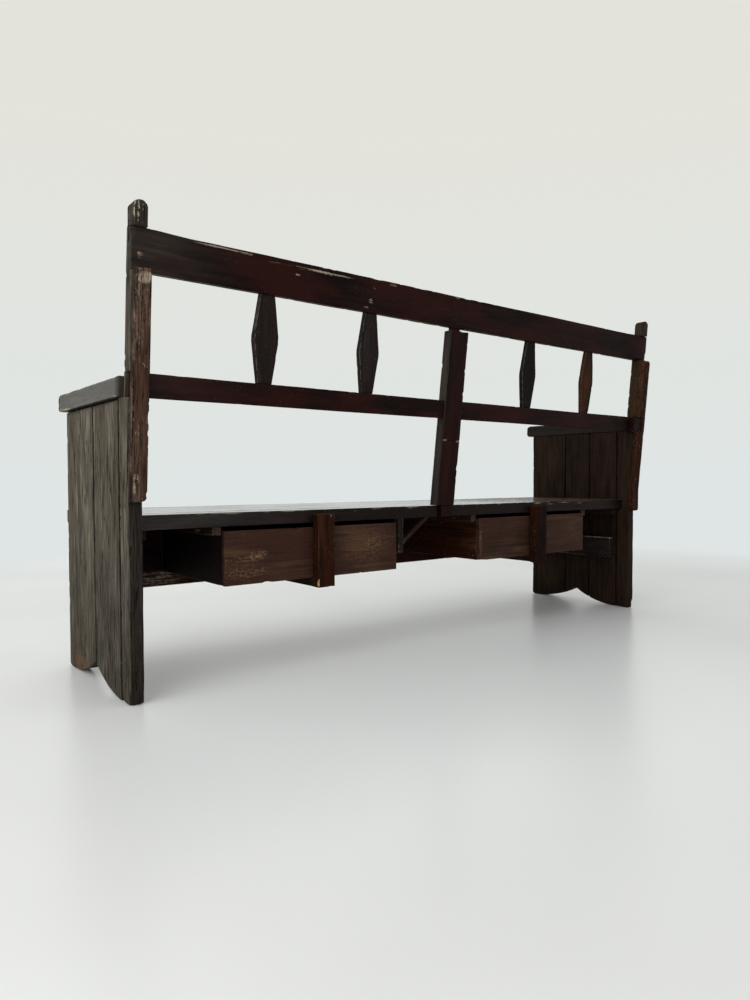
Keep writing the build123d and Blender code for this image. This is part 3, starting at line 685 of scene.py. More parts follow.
def leaning(across, depth, rise):
    """Depth in front of the leaning face and rise up it, both turned by the lean."""
    y = back_y + rise * sin(lean) - depth * cos(lean)
    z = kink_z + rise * cos(lean) + depth * sin(lean)
    return np.stack([across, y, z], axis=1)


def rise_of(height):
    """How far up the leaning face a height lies."""
    return (height - kink_z) / cos(lean)


def corner_round(a, b, radius):
    """Turn a square corner round: inside it the larger of two distances becomes the radius."""
    da, db = np.maximum(radius - a, 0), np.maximum(radius - b, 0)
    inside = (da > 0) & (db > 0)
    scale = np.where(inside, np.maximum(da, db) / np.maximum(np.hypot(da, db), 1e-9), 1)
    return np.where(inside, radius - da * scale, a), np.where(inside, radius - db * scale, b)


print("rear edge", round(back_y, 4), "half length", round(half_length, 4))

# %% [markdown]
# ## Ends
# Each end is a wall of upright planks on two feet, cut out between them in a low pointed
# arch of two arcs. The planks are grey outside and dark inside, so the stain mark is 1
# everywhere but on the outer face.

# %% Planks of the ends
plank_top = 0.661
plank_thick = 0.033


def foot_height(d):
    """Underside at a distance in front of the rear edge: two arcs that meet, then a round
    corner. An arc of a run and a height has the radius (run^2 + height^2) / (2 height)."""
    rear_toe, apex, front_toe, high = post_deep, 0.235, 0.425, 0.051
    round_from, toe_round = 0.437, 0.015
    reach = np.where(d < apex, apex - rear_toe, front_toe - apex)
    radius = (reach**2 + high**2) / (2 * high)
    run = np.clip(np.where(d < apex, d - rear_toe, front_toe - d), 0, reach)
    corner = np.clip(d - round_from, 0, toe_round)
    rounded = toe_round - np.sqrt(toe_round**2 - corner**2)
    return radius - np.sqrt(radius**2 - run**2) + rounded


def outer_bare(thick, width):
    """Stain everywhere but on the outer face, and along the seams of that face too."""

    def stain(sharp):
        aside = np.minimum(sharp[:, 1], width - sharp[:, 1])
        inner = 1 - eased(sharp[:, 2], thick - 0.003, thick - 0.0008)
        return np.maximum(inner, 1 - eased(aside, 0.0015, 0.0045))

    return stain


def darker_rear_and_low(y, z):
    """Darker on the outer faces towards the rear and towards the floor."""
    return np.minimum(0.26 * eased(y, -0.12, 0.10) + 0.40 * (1 - eased(z, 0.05, 0.50)), 0.58)


def opened_seams(along, across, through, width):
    """Draw the long edges back by about two millimetres near both faces."""
    aside = np.minimum(across, width - across)
    place = np.stack([along, across > width / 2, 0 * along], axis=1)
    pull = 0.0018 * (1 + 0.5 * wander(place, 0.07, 3))
    pull = pull * eased(np.abs(through - plank_thick / 2), 0.0035, 0.008)
    pull = pull * (1 - eased(aside, 0, 0.02))
    return across + np.where(across < width / 2, pull, -pull)


plank_knots = {
    "right_front_plank": [((0.43, 0.15, 0.033), (0.02, 0.011, 0.05))],
    "right_rear_plank": [
        ((0.30, 0.06, 0.033), (0.024, 0.012, 0.05)),
        ((0.55, 0.13, 0.033), (0.016, 0.008, 0.05)),
    ],
}
# Warm brown wood bared at the toes, in the room's own lengths.
foot_wear = [
    ((0.95, -0.145, 0.020), (0.02, 0.09, 0.055), 0.8),
    ((0.95, 0.190, 0.010), (0.02, 0.04, 0.030), 0.6),
    ((-0.95, -0.180, 0.015), (0.02, 0.08, 0.040), 0.8),
    ((-0.917, -0.150, 0.110), (0.01, 0.10, 0.110), 0.70),
    ((-0.917, -0.020, 0.150), (0.01, 0.08, 0.070), 0.55),
    ((-0.917, -0.130, 0.560), (0.01, 0.08, 0.120), 0.55),
]
ends = (
    ("right", 1, ("front", "rear")),
    ("left", -1, ("front", "middle", "rear")),
)
near_top = [plank_top - gap for gap in (0.001, 0.003, 0.005)]
near_faces = (0.0085, 0.013, 0.020, 0.0245)
for side_name, side, places in ends:
    for number, place in enumerate(places):
        name = f"{side_name}_{place}_plank"
        low, size = measured(name)
        points, faces, grain, marks = worn_board(
            (plank_top, size[1], size[0]), 60 + number + 5 * side, radius=0.0025, step=0.006,
            stain=outer_bare(size[0], size[1]), knots=plank_knots.get(name, ()), chip=0.0018,
            lines=(near_top, (), near_faces), rub=0.4,
        )
        # At each plank's top the outer half is drawn in by 4 mm, and the stain mark there is
        # painted shadow under the armrest.
        top = 1 - eased(plank_top - points[:, 0], 0.001, 0.005)
        points[:, 2] -= 0.004 * top * eased(points[:, 2], 0.016, 0.030)
        marks[:, 2] += top
        y = low[1] + opened_seams(*points.T, size[1])
        bottom = foot_height(back_y - y)
        z = bottom + points[:, 0] * (plank_top - bottom) / plank_top
        points = np.stack([side * (inner_half + points[:, 2]), y, z], axis=1)
        marks[:, 0] += spotted(points, foot_wear)
        # The outer faces are darker towards the rear and towards the floor.
        marks[:, 2] = np.maximum(marks[:, 2], darker_rear_and_low(y, z))
        finished(name, (points, faces, grain, marks), grey_pine if side > 0 else shaded_pine)

# %% [markdown]
# ## Rear posts
# A post stands upright to the kink and leans back above it. Its rear face is notched for the
# two rails, and its top is rounded across.

# %% Rear posts
rail_spans = ((0.657, 0.710), (0.916, 1.005))
notches = [(kink_z + rise_of(low), kink_z + rise_of(high)) for low, high in rail_spans]
shoulder = kink_z + rise_of(plank_top)
post_length = kink_z + rise_of(post_top)
steps = doubled([*notches[0], *notches[1], shoulder])
steps += list(post_length - np.linspace(0.001, 0.016, 9))

# A broom mark low on the rear face, pale scratches on the finial, and a worn foot.
post_scars = [
    ((0.128, 0.023, 0.0), (0.024, 0.0016, 0.006), 0.75),
    ((1.045, 0.010, 0.0), (0.020, 0.0026, 0.010), 0.8),
    ((1.038, 0.022, 0.0), (0.030, 0.0022, 0.010), 0.85),
    ((1.040, 0.031, 0.0), (0.034, 0.0026, 0.010), 1.0),
    ((1.030, 0.033, 0.035), (0.022, 0.0060, 0.003), 0.6),
]
toe_dents = [
    ((0.012, 0.033, 0.0), (0.02, 0.012, 0.014), 0.004),
    ((0.0, 0.02, 0.05), (0.02, 0.03, 0.02), 0.0015),
]
upper_deep, notch_in = 0.036, 0.025


def by_the_batten(sharp):
    """1 along the rear outer corner, from the armrest's height up to the top rail."""
    corner = (1 - eased(sharp[:, 2], 0.003, 0.010)) * eased(sharp[:, 1], 0.026, 0.030)
    return corner * eased(sharp[:, 0], 0.46, 0.52) * (1 - eased(sharp[:, 0], 0.88, 0.92))


def pitted(sharp):
    """Pits of up to 3 mm where nails were drawn."""
    return 0.003 * by_the_batten(sharp) * eased(wander(sharp, 0.008, 31), -0.2, 0.4)


for side_name, side, places in ends:
    points, faces, grain, marks = worn_board(
        (post_length, post_wide, post_deep), 75 + side, radius=0.0032, step=0.005,
        lines=(steps, (0.0275,), (0.009, 0.043)), chip=0.002, rub=0.45,
        scrapes=post_scars, dents=toe_dents, torn=pitted,
        grow=lambda sharp: 1 + 0.7 * eased(np.abs(sharp[:, 0] - 0.52), 0.46, 0.51),
        stain=lambda sharp: by_the_batten(sharp) * 0.85,
    )
    along, across, through = points.T
    aside = np.minimum(across, post_wide - across)
    edge_far, along_far = corner_round(aside, post_length - along, 0.0155)
    across = np.where(across < post_wide / 2, edge_far, post_wide - edge_far)
    along = post_length - along_far
    rise = along - kink_z
    leaned = np.maximum(rise, 0)
    rear = np.zeros(len(points))
    for low, high in notches:
        rear = np.where((along > low) & (along < high), notch_in, rear)
    front = np.where(along < shoulder, post_deep + leaned * sin(lean), upper_deep * cos(lean))
    forward = rear + (front - rear) * through / post_deep
    lift = forward * sin(lean) * eased(rise, 0, 0.1) * (1 - eased(along, 1.03, post_length))
    y = back_y + leaned * sin(lean) - forward
    z = np.minimum(along, kink_z) + leaned * cos(lean) + lift
    behind = (1 - eased(across, 0.0295, 0.0322)) * (1 - 0.25 * eased(z, 0.985, 1.0))
    # Darker towards the rear and the floor, higher up the post, and at the finial.
    darker_places = darker_rear_and_low(y, z) + 0.15 * eased(z, 0.68, 0.75) + 0.5 * eased(z, 0.985, 1.005)
    marks[:, 2] = np.maximum(np.maximum(marks[:, 2], behind), darker_places)
    if side < 0:
        marks[:, 0] += 0.75 * eased(z, 0.64, 0.72) * (1 - eased(z, 0.92, 0.96))
    seam = opened_seams(along, through, across, post_deep) - through
    y = y - np.where((through > post_deep / 2) & (z < 0.655), seam, 0)
    points = np.stack([side * (inner_half + across), y, z], axis=1)
    wood = grey_pine if side > 0 else shaded_pine
    finished(side_name + "_rear_post", (points, faces, grain, marks), wood)

# %% [markdown]
# ## Armrests
# An armrest is a thick rail with a blunt round nose. Its rear end is cut to the lean of the
# post that it butts against, and its upper edges are rounder than its lower ones.

# %% Armrests
for side_name, side, places in ends:
    low, size = measured(side_name + "_armrest")
    points, faces, grain, marks = worn_board(
        size[[1, 0, 2]], 80 + side, radius=0.0022, step=0.005,
        grow=lambda sharp: 1 + 1.1 * eased(sharp[:, 2], 0.01, 0.03),
        rub=0.8, reach=0.007, chip=0.0015,
    )
    along, across, through = points.T
    high_far, nose_far = corner_round(np.minimum(through, size[2] - through), along, 0.013)
    through = np.where(through < size[2] / 2, high_far, size[2] - high_far)
    z = low[2] + through
    end = back_y + (z - kink_z) * tan(lean) - upper_deep / cos(lean)
    y = low[1] + nose_far * (end - low[1]) / size[1]
    x = low[0] + across if side > 0 else low[0] + size[0] - across
    # The stain mark on the underside is painted shadow.
    under = 1 - eased(through, 0.0004, 0.002)
    nose = 0.65 * (1 - eased(along, 0.008, 0.022))
    heel = 0.7 * eased(along, size[1] - 0.03, size[1] - 0.004)
    inner = 1 - eased(across, 0.001, 0.005)
    marks[:, 2] += np.max([under, nose, heel, inner], axis=0)
    # The whole top face gets the pale worn colour: a painted sheen from the light above, on top of
    # the hand wear.
    painted_sheen_on_top = eased(through, size[2] - 0.003, size[2] - 0.001)
    marks[:, 0] = (marks[:, 0] + 0.42 * painted_sheen_on_top) * (1 - inner)
    marks[:, 0] *= 1 - heel / 0.7
    low_rim = (1 - eased(np.abs(through - 0.003), 0.001, 0.003)) * eased(across, 0.03, 0.044)
    marks[:, 1] += 0.9 * low_rim * (1 - eased(along, 0.06, 0.16))
    finished(side_name + "_armrest", (np.stack([x, y, z], axis=1), faces, grain, marks), arm_pine)

# %% [markdown]
# ## Battens at the back
# A batten follows the rear face of its post over the kink. The right one has lost a corner
# at its foot; the left one is rounded at its foot and its outer top corner, and is notched
# for the end of the middle rail.

# %% Battens at the back
batten_thick, batten_wide = 0.014, 0.038


def dark_edges(sharp):
    """Stain along both long edges of the right batten."""
    aside = np.minimum(sharp[:, 1], batten_wide - sharp[:, 1])
    return 0.85 * (1 - eased(aside, 0.001, 0.005))


batten_scars = {
    "right": {
        "scrapes": [
            ((0.468, 0.013, 0.014), (0.016, 0.024, 0.02), 1.20),
            ((0.440, 0.024, 0.014), (0.045, 0.010, 0.02), 0.60),
            ((0.052, 0.024, 0.014), (0.015, 0.008, 0.01), 1.5),
            ((0.030, 0.028, 0.014), (0.015, 0.006, 0.01), 1.3),
            ((0.33, 0.026, 0.014), (0.09, 0.008, 0.01), 0.42),
            ((0.16, 0.026, 0.014), (0.07, 0.008, 0.01), 0.42),
        ],
        "rubs": [((0.40, 0.022, 0.014), (0.17, 0.022, 0.01), 0.55)],
        "stain": dark_edges,
    },
    "left": {
        "scrapes": [((0.55, 0.02, 0.014), (0.01, 0.02, 0.02), 0.5)],
        "rubs": [((0.40, 0.016, 0.0), (0.40, 0.060, 0.05), 0.42)],
    },
}
for side_name, side, places in ends:
    low, size = measured(side_name + "_back_batten")
    first = low[2] - kink_z
    length = rise_of(rail_spans[1][0]) - first + (0.005 if side > 0 else 0.0)
    notch_low, notch_high = (rise_of(rail_spans[0][n]) - first for n in (0, 1))
    fine = [0.002, 0.004, 0.006, 0.009, length - 0.009, length - 0.006, length - 0.003]
    points, faces, grain, marks = worn_board(
        (length, size[0], batten_thick), 85 + side, step=0.005,
        lines=(doubled((notch_low, notch_high)) + fine, (), ()),
        rub=0.9, reach=0.006, chip=0.0025, **batten_scars[side_name],
    )
    along, outward, through = points.T
    if side > 0:
        outward, along = corner_round(outward, along, 0.014)
    else:
        outer_far, top_far = corner_round(size[0] - outward, length - along, 0.011)
        outward, along = size[0] - outer_far, length - top_far
        side_far, low_far = corner_round(np.minimum(outward, size[0] - outward), along, 0.010)
        outward = np.where(outward < batten_wide / 2, side_far, size[0] - side_far)
        along = low_far
        # Beside the notch only the outer 10 mm of 38 mm are left. This batten is also wider.
        notched = (along > notch_low) & (along < notch_high)
        outward = np.where(notched, 0.028 + outward * 10 / 38, outward)
        outward = outward * 1.15
    rise = first + along
    leaned = np.maximum(rise, 0)
    y = np.minimum(back_y + leaned * sin(lean) + through, cad_box[1][1])
    z = kink_z + np.minimum(rise, 0) + leaned * cos(lean)
    z = z - through * sin(lean) * eased(rise, 0, 0.03)
    inner_x = abs(low[0]) if side > 0 else abs(low[0] + size[0])
    points = np.stack([side * (inner_x + outward), y, z], axis=1)
    wood = redbrown if side > 0 else darkred
    finished(side_name + "_back_batten", (points, faces, grain, marks), wood)
print(made_counts)

# %% [markdown]
# ## Rails
# The two rails run through from post to post, halved into the notches at their ends. They
# are thick with ox-blood paint, which has flaked along the upper edge. Near their ends they
# bow rearward by a few millimetres.

# %% Rails
def joined(boards):
    """Several sets of arrays as one: the rows follow each other and the faces count on."""
    starts = np.cumsum([0] + [len(board[0]) for board in boards[:-1]])
    faces = np.concatenate([board[1] + start for board, start in zip(boards, starts)])
    rows = [np.concatenate([board[n] for board in boards]) for n in (0, 2, 3)]
    return rows[0], faces, rows[1], rows[2]


# Paint flaked along the top rail: where along it, how high and how far it reaches.
flaked_band = [
    (1.72, 0.0845, 0.06), (1.64, 0.082, 0.06), (1.56, 0.0795, 0.07), (1.46, 0.078, 0.08),
    (1.38, 0.078, 0.07), (1.20, 0.084, 0.02), (0.96, 0.086, 0.015),
]
rail_scars = {
    "top_rail": [((at, up, 0.0), (reach, 0.0036, 0.006), 0.85) for at, up, reach in flaked_band]
    + [
        ((1.785, 0.0885, 0.0), (0.060, 0.0018, 0.01), 0.75),
        ((1.271, 0.030, 0.0), (0.010, 0.0100, 0.01), 0.85),
        ((1.285, 0.012, 0.0), (0.012, 0.0050, 0.01), 0.80),
        ((1.260, 0.066, 0.0), (0.010, 0.0040, 0.01), 0.75),
        ((1.495, 0.056, 0.0), (0.010, 0.0050, 0.01), 0.85),
        ((1.881, 0.033, 0.0), (0.014, 0.0140, 0.01), 0.45),
    ],
    "mid_rail": [
        ((0.587, 0.015, 0.0), (0.006, 0.0020, 0.01), 1.0),
        ((0.439, 0.036, 0.0), (0.006, 0.0020, 0.01), 1.0),
        ((0.155, 0.022, 0.0), (0.008, 0.0030, 0.01), 0.9),
        ((0.72, 0.052, 0.0), (0.020, 0.0030, 0.01), 0.6),
    ],
}
# Toward their right ends the rails take the paint's paler stain colour: painted light where the
# window light falls strongest.
right_end_painted_light = {"top_rail": 0.65, "mid_rail": 0.25}
bowed = {"top_rail": 0.009, "mid_rail": 0.004}
rail_thick = 0.022
lap = half_length - inner_half
halving = doubled((lap, 2 * half_length - lap))
for seed, (name, (low_z, high_z)) in enumerate(zip(("mid_rail", "top_rail"), rail_spans), 90):
    height = rise_of(high_z) - rise_of(low_z)
    points, faces, grain, marks = worn_board(
        (2 * half_length, height, rail_thick), seed, radius=0.003, step=0.006,
        lines=(halving, (), ()), rub=0.75, reach=0.003, chip=0.0025, wave=0.0005,
        scrapes=rail_scars[name],
        stain=lambda sharp: right_end_painted_light[name] * eased(sharp[:, 0] - half_length, 0.66, 0.94),
    )
    x = points[:, 0] - half_length
    # Halved ends: behind the first 3 mm they keep 42% of the thickness.
    first = np.minimum(points[:, 2], 0.003)
    thick = np.where(np.abs(x) > inner_half, first + (points[:, 2] - first) * 0.42, points[:, 2])
    bow = bowed[name] * eased(np.abs(x), 0.80, 0.93)
    depth = 0.014 + thick - bow * (1 - points[:, 2] / rail_thick)
    marks[:, 0] *= 1 - eased(x, 0.940, 0.947)
    x = x - 0.007 * eased(-x, 0.90, 0.94)
    placed = leaning(x, depth, rise_of(low_z) + points[:, 1])
    boards = [(placed, faces, grain, marks)]
    if name == "mid_rail":
        # A filler block closes the left batten's notch behind this rail.
        points, *rest = worn_board((0.049, height, 0.023), 94, radius=0.003, step=0.005)
        placed = leaning(points[:, 0] - 0.949, points[:, 2] - 0.009, rise_of(low_z) + points[:, 1])
        boards.append((placed, *rest))
    finished(name, joined(boards), oxblood)

# %% [markdown]
# ## Draw pegs
# Pegs that were whittled nearly square draw the rails tight to the posts. Each is a small
# board set through the thickness, and the two at the left end are painted over.

# %% Draw pegs
peg_long, peg_thick, peg_x = 0.031, 0.011, 0.9335
peg_heads = ((0.950, 0.004), (0.6835, 0.009))  # height, depth
peg_places = [(side * peg_x, *head) for side in (1, -1) for head in peg_heads]
pegs = []
for seed, (x, height, depth) in enumerate(peg_places, start=160):
    points, *rest = worn_board(
        (peg_long, peg_thick, peg_thick), seed, radius=0.0036, step=0.002,
        stain=all_over if x < 0 else None,
    )
    points = points - (0, peg_thick / 2, peg_thick / 2)
    placed = leaning(x + points[:, 1], depth + points[:, 0], rise_of(height) + points[:, 2])
    pegs.append((placed, *rest))
finished("back_pegs", joined(pegs), pale_peg_pine)

# %% [markdown]
# ## Middle post
# The middle post is broken and mended above the seat, stops short of the top rail and holds
# it with a tenon. Its foot is a tongue let into the seat. Three worn boards are joined into
# one piece.

# %% Middle post
def upright_leaning(board, low_z, x_start, depth_start, swing=0.0):
    """Carry a board into the leaning back with level ends: y = the leaning plane at z.

    The swing carries its foot sideways and leaves its top where it is."""
    points, *rest = board
    z = low_z + points[:, 0]
    depth = depth_start + points[:, 2]
    y = back_y + (z - kink_z) * tan(lean) - depth / cos(lean)
    x = x_start + points[:, 1] + swing * (1 - points[:, 0] / points[:, 0].max())
    return np.stack([x, y, z], axis=1), *rest


seat_top, break_line = 0.407, 0.190
near_break = [break_line + shift for shift in (-0.003, -0.0012, -0.0004, 0.0004, 0.0012, 0.003)]
trunk = worn_board(
    (0.504, 0.071, 0.031), 95, step=0.005, lines=(near_break, (), ()), radius=0.0025, rub=0.3,
    chip=0.0022, wave=0.0006,
    dents=[((break_line, 0.035, 0.0), (0.0009, 0.2, 0.02), 0.0022)],
    scrapes=[
        ((break_line, 0.060, 0.0), (0.003, 0.012, 0.01), 1.5),
        ((break_line - 0.003, 0.012, 0.0), (0.004, 0.009, 0.01), 1.5),
    ],
    stain=lambda sharp: eased(sharp[:, 1], 0.068, 0.0705) * 0.9,
)
tenon = worn_board((0.030, 0.036, 0.012), 96, radius=0.001)
tongue = worn_board((0.034, 0.040, 0.018), 97, radius=0.0015, step=0.005, rub=0.4)
foot_y = back_y + (seat_top - kink_z) * tan(lean) - 0.035 / cos(lean)
long, wide, deep = tongue[0].T
let_in = np.stack([wide - 0.020, foot_y + 0.018 - deep, 0.373 + long], axis=1)
parts = [
    upright_leaning(trunk, seat_top, -0.040, 0.010, 0.015),
    upright_leaning(tenon, 0.907, -0.012, 0.019),
    (let_in, *tongue[1:]),
]
finished("centre_post", joined(parts), oxblood)

# %% [markdown]
# ## Slats
# Four flat slats stand between the rails. Each is a long hexagon, widest in the middle, with
# its long edges cut to a bevel. A power of 1 instead of 2 in the rounding gives that flat
# bevel. One of them is a later one in warmer wood.

# %% Slats
slat_low, slat_high = rise_of(rail_spans[0][1]), rise_of(rail_spans[1][0])
slat_length = slat_high - slat_low + 0.004
slat_wide, flat_half, bevel_at = 0.073, 0.006, 0.0675
drift = {2: -0.0125, 4: -0.012}
for number in range(1, 5):
    low, size = measured(f"back_slat_{number}")
    points, faces, grain, marks = worn_board(
        (slat_length, slat_wide, 0.012), 100 + number, radius=0.0026, step=0.005, power=1.15,
        lines=(doubled([slat_length / 2], flat_half), (0.0660, bevel_at, 0.0690), ()),
        rub=0.55, wave=0.0005, stain=all_over if number == 3 else None,
    )
    along, across, through = points.T
    off_middle = np.maximum(np.abs(along - slat_length / 2) - flat_half, 0)
    half = 0.0352 - 0.0145 * off_middle / (slat_length / 2 - 0.008)
    x = low[0] + size[0] / 2 + drift.get(number, 0) + (across / slat_wide - 0.5) * 2 * half
    bevel = 1 - eased(np.abs(across - bevel_at), 0.0006, 0.0024)
    marks[:, 0] += 0.9 * bevel * (through < 0.004)
    placed = leaning(x, 0.019 + through, slat_low - 0.002 + along)
    wood = warm_slat_oil if number == 4 else slat_oil
    finished(f"back_slat_{number}", (placed, faces, grain, marks), wood)
print(made_counts)

# %% [markdown]
# ## Rear rail of the seat
# This rail carries the seat's rear edge and is the most battered board of all: its upper
# rear edge has split and broken away in places, and a flared notch holds the foot of the
# middle post.

# %% Rear rail of the seat
low, size = measured("seat_rear_rail")
notch_depth = low[1] + size[1] - foot_y
flare_low, flare_high = 0.021, 0.030
flare = [flare_low, flare_low + 0.0002, flare_high, flare_high + 0.0002]
notch_lines = [inner_half + sign * at for at in flare for sign in (-1, 1)]
# Slivers torn from the upper rear edge: where they are along it, how high and how long.
slivers = [
    (1.241, 0.024, 0.020), (1.169, 0.029, 0.026), (1.041, 0.029, 0.034), (0.675, 0.031, 0.012),
    (0.490, 0.030, 0.030), (0.420, 0.026, 0.022), (0.340, 0.030, 0.035), (0.255, 0.024, 0.030),
    (1.62, 0.031, 0.05), (1.45, 0.032, 0.03),
]


def rear_face(sharp):
    """Stain on the rear face, thinner towards the right end."""
    return eased(sharp[:, 1], 0.0670, 0.0695) * (1 - 0.35 * eased(sharp[:, 0], 1.3, 1.75))


points, faces, grain, marks = worn_board(
    size, 110, radius=0.0022, step=0.004, lines=(notch_lines, (), ()), rub=0.35, chip=0.003,
    scrapes=[((at, 0.070, up), (long, 0.006, 0.0030), 0.85) for at, up, long in slivers],
    dents=[((at, 0.070, up + 0.003), (long, 0.008, 0.006), 0.003) for at, up, long in slivers],
    stain=rear_face, rubs=[((0.25, 0.02, 0.034), (0.60, 0.08, 0.01), 0.9)],
)
x = points[:, 0] - inner_half
open_by = notch_depth * np.clip((flare_high - np.abs(x)) / 0.009, 0, 1)
y = low[1] + points[:, 1] * (size[1] - open_by) / size[1]
marks[:, 1] += 0.35 * (open_by > 0.001) * eased(points[:, 1], 0.06, 0.069)
points = np.stack([x, y, low[2] + points[:, 2]], axis=1)
finished("seat_rear_rail", (points, faces, grain, marks), seat_varnish)

# %% [markdown]
# ## Front of the seat
# The nosing is the leaf's front edge. Its ears run in front of the end planks, so it is
# thinner there. The stiles under it are notched for the bearers that carry the leaf.

# %% Nosing
low, size = measured("leaf_nosing")
ear_start = 0.9155
ear = half_length - ear_start
points, *rest = worn_board(
    size[[0, 2, 1]], 120, step=0.007, lines=(doubled((ear, 2 * half_length - ear)), (), ()),
    grow=lambda sharp: 1 + 2.6 * (1 - eased(sharp[:, 2], 0.006, 0.018)), rub=0.8, reach=0.006,
)
x = points[:, 0] - half_length
ear_share = 11.5 / 24
keep = np.where(np.abs(x) > ear_start, ear_share, 1.0)
placed = np.stack([x, low[1] + points[:, 2] * keep, low[2] + points[:, 1]], axis=1)
finished("leaf_nosing", (placed, *rest), seat_varnish)

# %% Stiles
# A notch is a little wider than its bearer; the swollen stiles close the joints beside them.
notch_half, notch_deep, swell = 0.013, 0.0223, 0.0012
bearer_middles = []
for number in range(1, 5):
    low, size = measured(f"leaf_bearer_{number}")
    bearer_middles.append(low[0] + size[0] / 2)
for seed, name in enumerate(("right", "middle", "left"), start=130):
    low, size = measured("front_stile_" + name)
    cuts = [at - low[0] for at in doubled(bearer_middles, notch_half)]
    cuts = [cut for cut in cuts if 0.0005 < cut < size[0] - 0.0005]
    points, *rest = worn_board(
        size[[0, 2, 1]], seed, lines=(doubled(cuts, 0.0001), (), ()), rub=0.8, chip=0.0015
    )
    x = low[0] + points[:, 0] + swell * (2 * points[:, 0] / size[0] - 1)
    near = np.abs(x[:, None] - np.array(bearer_middles)).min(axis=1)
    tall = np.where(near < notch_half, size[2] - notch_deep, size[2])
    placed = np.stack([x, low[1] + points[:, 2], low[2] + points[:, 1] * tall / size[2]], axis=1)
    finished("front_stile_" + name, (placed, *rest), oxblood)

# %% [markdown]
# ## Knee brace and knobs
# The brace is a slanting strip between the hanger and the seat. The knobs are turned on a
# lathe, so each is a profile carried round an axis, closed at its two poles.

# %% Knee brace
low, size = measured("knee_brace")
brace_long, brace_wide, level_cut = 0.1229, 0.011, 0.0149
points, *rest = worn_board(
    (brace_long, brace_wide, 0.014), 140, radius=0.0015, step=0.005, rub=1.2, reach=0.002
)
t = points[:, 0] / brace_long
foot_x = low[0] + size[0]
x = foot_x - t * (size[0] - points[:, 1] / brace_wide * level_cut)
z = low[2] + points[:, 1] * (1 - t) + t * size[2]
placed = np.stack([x, low[1] + size[1] - points[:, 2], z], axis=1)
finished("knee_brace", (placed, *rest), slat_oil)

# %% Knobs
# Radius and height in front of the drawer, in mm: the head, its neck, and the shank inside.
knob_profile = [
    (0, 27), (4, 26.7), (8, 25.6), (12, 23.4), (15, 20), (16.6, 17), (17, 14.6), (16, 13.4),
    (13, 11.4), (10.4, 9), (9, 7.4), (8.6, 4), (9, 0.6), (8.4, 0), (5, 0), (4.9, -19.5),
    (0, -19.6),
]


def ringed(rings, spokes):
    """Quads between rings of points that follow each other, each ring closed on itself."""
    i, j = (part.ravel() for part in np.meshgrid(np.arange(rings - 1), np.arange(spokes)))
    k = (j + 1) % spokes
    below, above = i * spokes, (i + 1) * spokes
    return np.stack([below + j, above + j, above + k, below + k], axis=1)


def turned_knob(centre_x, centre_z, front_y, spokes=40):
    """Radius r and depth d along a profile, carried round by angle a: (r cos a, d, r sin a)."""
    profile = np.array(knob_profile) / 1000
    walked = np.linspace(0, len(profile) - 1, 65)
    radius = np.interp(walked, np.arange(len(profile)), profile[:, 0])
    depth = np.interp(walked, np.arange(len(profile)), profile[:, 1])
    angles = np.linspace(0, 2 * pi, spokes, endpoint=False)
    ring = np.stack(
        [
            np.outer(radius[1:-1], np.cos(angles)),
            np.repeat(-depth[1:-1, None], spokes, axis=1),
            np.outer(radius[1:-1], np.sin(angles)),
        ],
        axis=2,
    ).reshape(-1, 3)
    poles = np.array([[0, -depth[0], 0], [0, -depth[-1], 0]])
    points = np.concatenate([ring, poles]) + (centre_x, front_y, centre_z)
    first = np.arange(0, spokes, 2)
    second, third = first + 1, (first + 2) % spokes
    pole, last = np.full(len(first), len(ring)), len(ring) - spokes
    caps = [
        np.stack([pole, first, second, third], axis=1),
        np.stack([pole + 1, last + third, last + second, last + first], axis=1),
    ]
    return points, np.concatenate([ringed(len(radius) - 2, spokes), *caps])


for seed, name in enumerate(("right_drawer_knob", "left_drawer_knob"), start=150):
    low, size = measured(name)
    front_y = low[1] + knob_profile[0][1] / 1000
    points, faces = turned_knob(low[0] + size[0] / 2, low[2] + size[2] / 2, front_y)
    rubbed = 0.9 * (1 - eased(points[:, 1] - low[1], 0.002, 0.010))
    marks = rubbed[:, None] * (1, 0, 0)
    grain = points[:, [1, 0, 2]] + seed
    finished(name, (points, faces, grain, marks), oxblood)
print(made_counts)

# %% [markdown]
# ## Pegs and nails
# The other pegs, the dowels and the nails have the right shape in the CAD model already. They
# only need their finish, which reads each object's own coordinates.

# %% Pegs and nails
for name in ("end_panel_dowels", "armrest_pegs", "leaf_pegs", "iron_nails"):
    mesh = frame["nodes"][name].data
    mesh.materials.clear()
    mesh.materials.append(rusty_iron if name == "iron_nails" else peg_pine)

# %% [markdown]
# ## Floor
# A pale, polished floor takes the bench's shadow and a soft mirror image. It is a disc that
# turns into the background colour with distance, so no edge of it is ever seen.

# %% Floor
background = "#dfe5e4"
rings, spokes, floor_reach = 60, 96, 14.0
radii = floor_reach * (np.arange(1, rings + 1) / rings) ** 2
angles = np.linspace(0, 2 * pi, spokes, endpoint=False)
flat = np.stack([np.outer(radii, np.cos(angles)), np.outer(radii, np.sin(angles))], axis=2)
ground = np.concatenate([[[0, 0, 0]], np.pad(flat.reshape(-1, 2), ((0, 0), (0, 1)))])
n = np.arange(spokes)
middle = np.stack([0 * n, 1 + n, 1 + (n + 1) % spokes], axis=1)
mesh = bpy.data.meshes.new("floor")
mesh.from_pydata(ground.tolist(), [], middle.tolist() + (1 + ringed(rings, spokes)).tolist())
floor = in_room("floor", mesh)

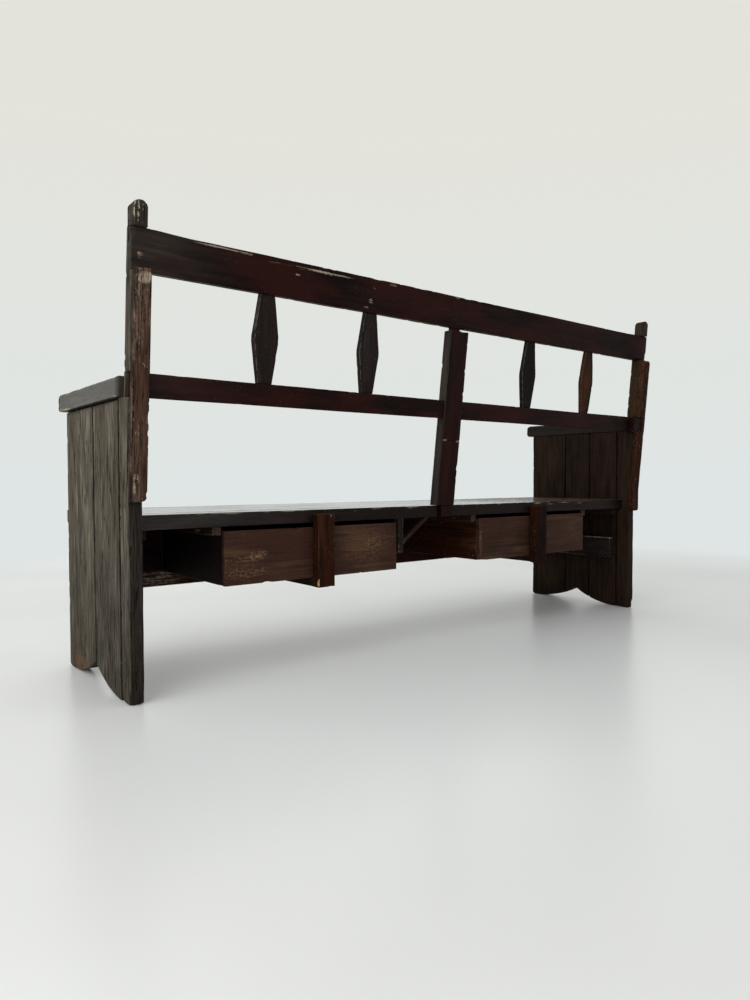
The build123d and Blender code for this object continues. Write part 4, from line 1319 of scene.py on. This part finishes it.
# Poured floor, off-white: smooth, with a soft sheen, and painted paler around the bench to lighten
# its shadow.
poured = bpy.data.materials.new("poured_floor")
add = emptied(poured)
where = add("TexCoord", out="Object")
distance = add("VectorMath", where, operation="LENGTH", out="Value")
cloud = add("TexNoise", Vector=where, Scale=per_mm(700), Detail=2.0)
tint = add("MixRGB", add("MapRange", cloud, 0.35, 0.65), linear("#dedfdd"), linear("#e4e5e3"))
# Paler within about a metre of a point just behind the bench: painted light that lifts the bench's
# shadow.
behind = add("VectorMath", where, (0.2, 0.5, 0.0), operation="DISTANCE", out="Value")
tint = add("MixRGB", add("MapRange", behind, 0.55, 1.05), linear("#eaecea"), tint)
polished = add("BsdfPrincipled", Base_Color=tint, Roughness=0.28, Specular_IOR_Level=0.75)
seen = add("Emission", linear(background), 1.0)
away = add("MapRange", distance, 2.1, 3.3)
add("OutputMaterial", add("MixShader", away, polished, seen))
mesh.materials.append(poured)

# %% [markdown]
# ## Light
# Soft daylight comes from a large window to the right of the bench and a little above it.
# The world gives the rest. What the camera and the gloss see of the world is a pale wall,
# cool at the horizon and warmer above, and what lights the wood is a little dimmer.

# %% Light
world = bpy.data.worlds.new("room")
add = emptied(world)
direct, mirrored, passed = [
    add("LightPath", out=f"Is {kind} Ray") for kind in ("Camera", "Glossy", "Transmission")
]
seen = add("Math", direct, mirrored, operation="MAXIMUM")
seen = add("Math", seen, passed, operation="MAXIMUM")
ambient = add("Background", linear("#f0f1f2"), 0.64)
height = add("SeparateXYZ", add("TexCoord", out="Generated"), out="Z")
above = add("MapRange", height, 0.0, 0.45)
wall = add("MixRGB", above, linear(background), linear("#e4e3db"))
shown = add("Background", wall, 1.0)
add("OutputWorld", add("MixShader", seen, ambient, shown))
bpy.context.scene.world = world

for name, place, size, watts in (
    ("window", (3.2, 1.0, 2.0), 3.6, 64.0),
    ("room_bounce", (0.3, 3.4, 2.2), 2.4, 4.0),
    ("ceiling", (0.2, -0.3, 3.4), 6.0, 30.0),
    ("front_window", (-0.6, -3.4, 1.7), 3.0, 26.0),
):
    lamp = bpy.data.lights.new(name, "AREA")
    lamp.shape, lamp.size, lamp.energy = "DISK", size, watts
    lamp_object = in_room(name, lamp)
    aimed = (Vector((0, 0, 0.5)) - Vector(place)).to_track_quat("-Z", "Y")
    lamp_object.matrix_world = Matrix.Translation(place) @ aimed.to_matrix().to_4x4()
    lamp_object.visible_glossy = name != "front_window"

bpy.context.scene.view_settings.view_transform = "Standard"

# %% [markdown]
# ## The CAD box
# The box of the frame as it was imported is printed. The dressed bench has to stay
# inside the frame it was given.

# %% The CAD box
print("cad box", [[round(v, 4) for v in corner] for corner in cad_box])
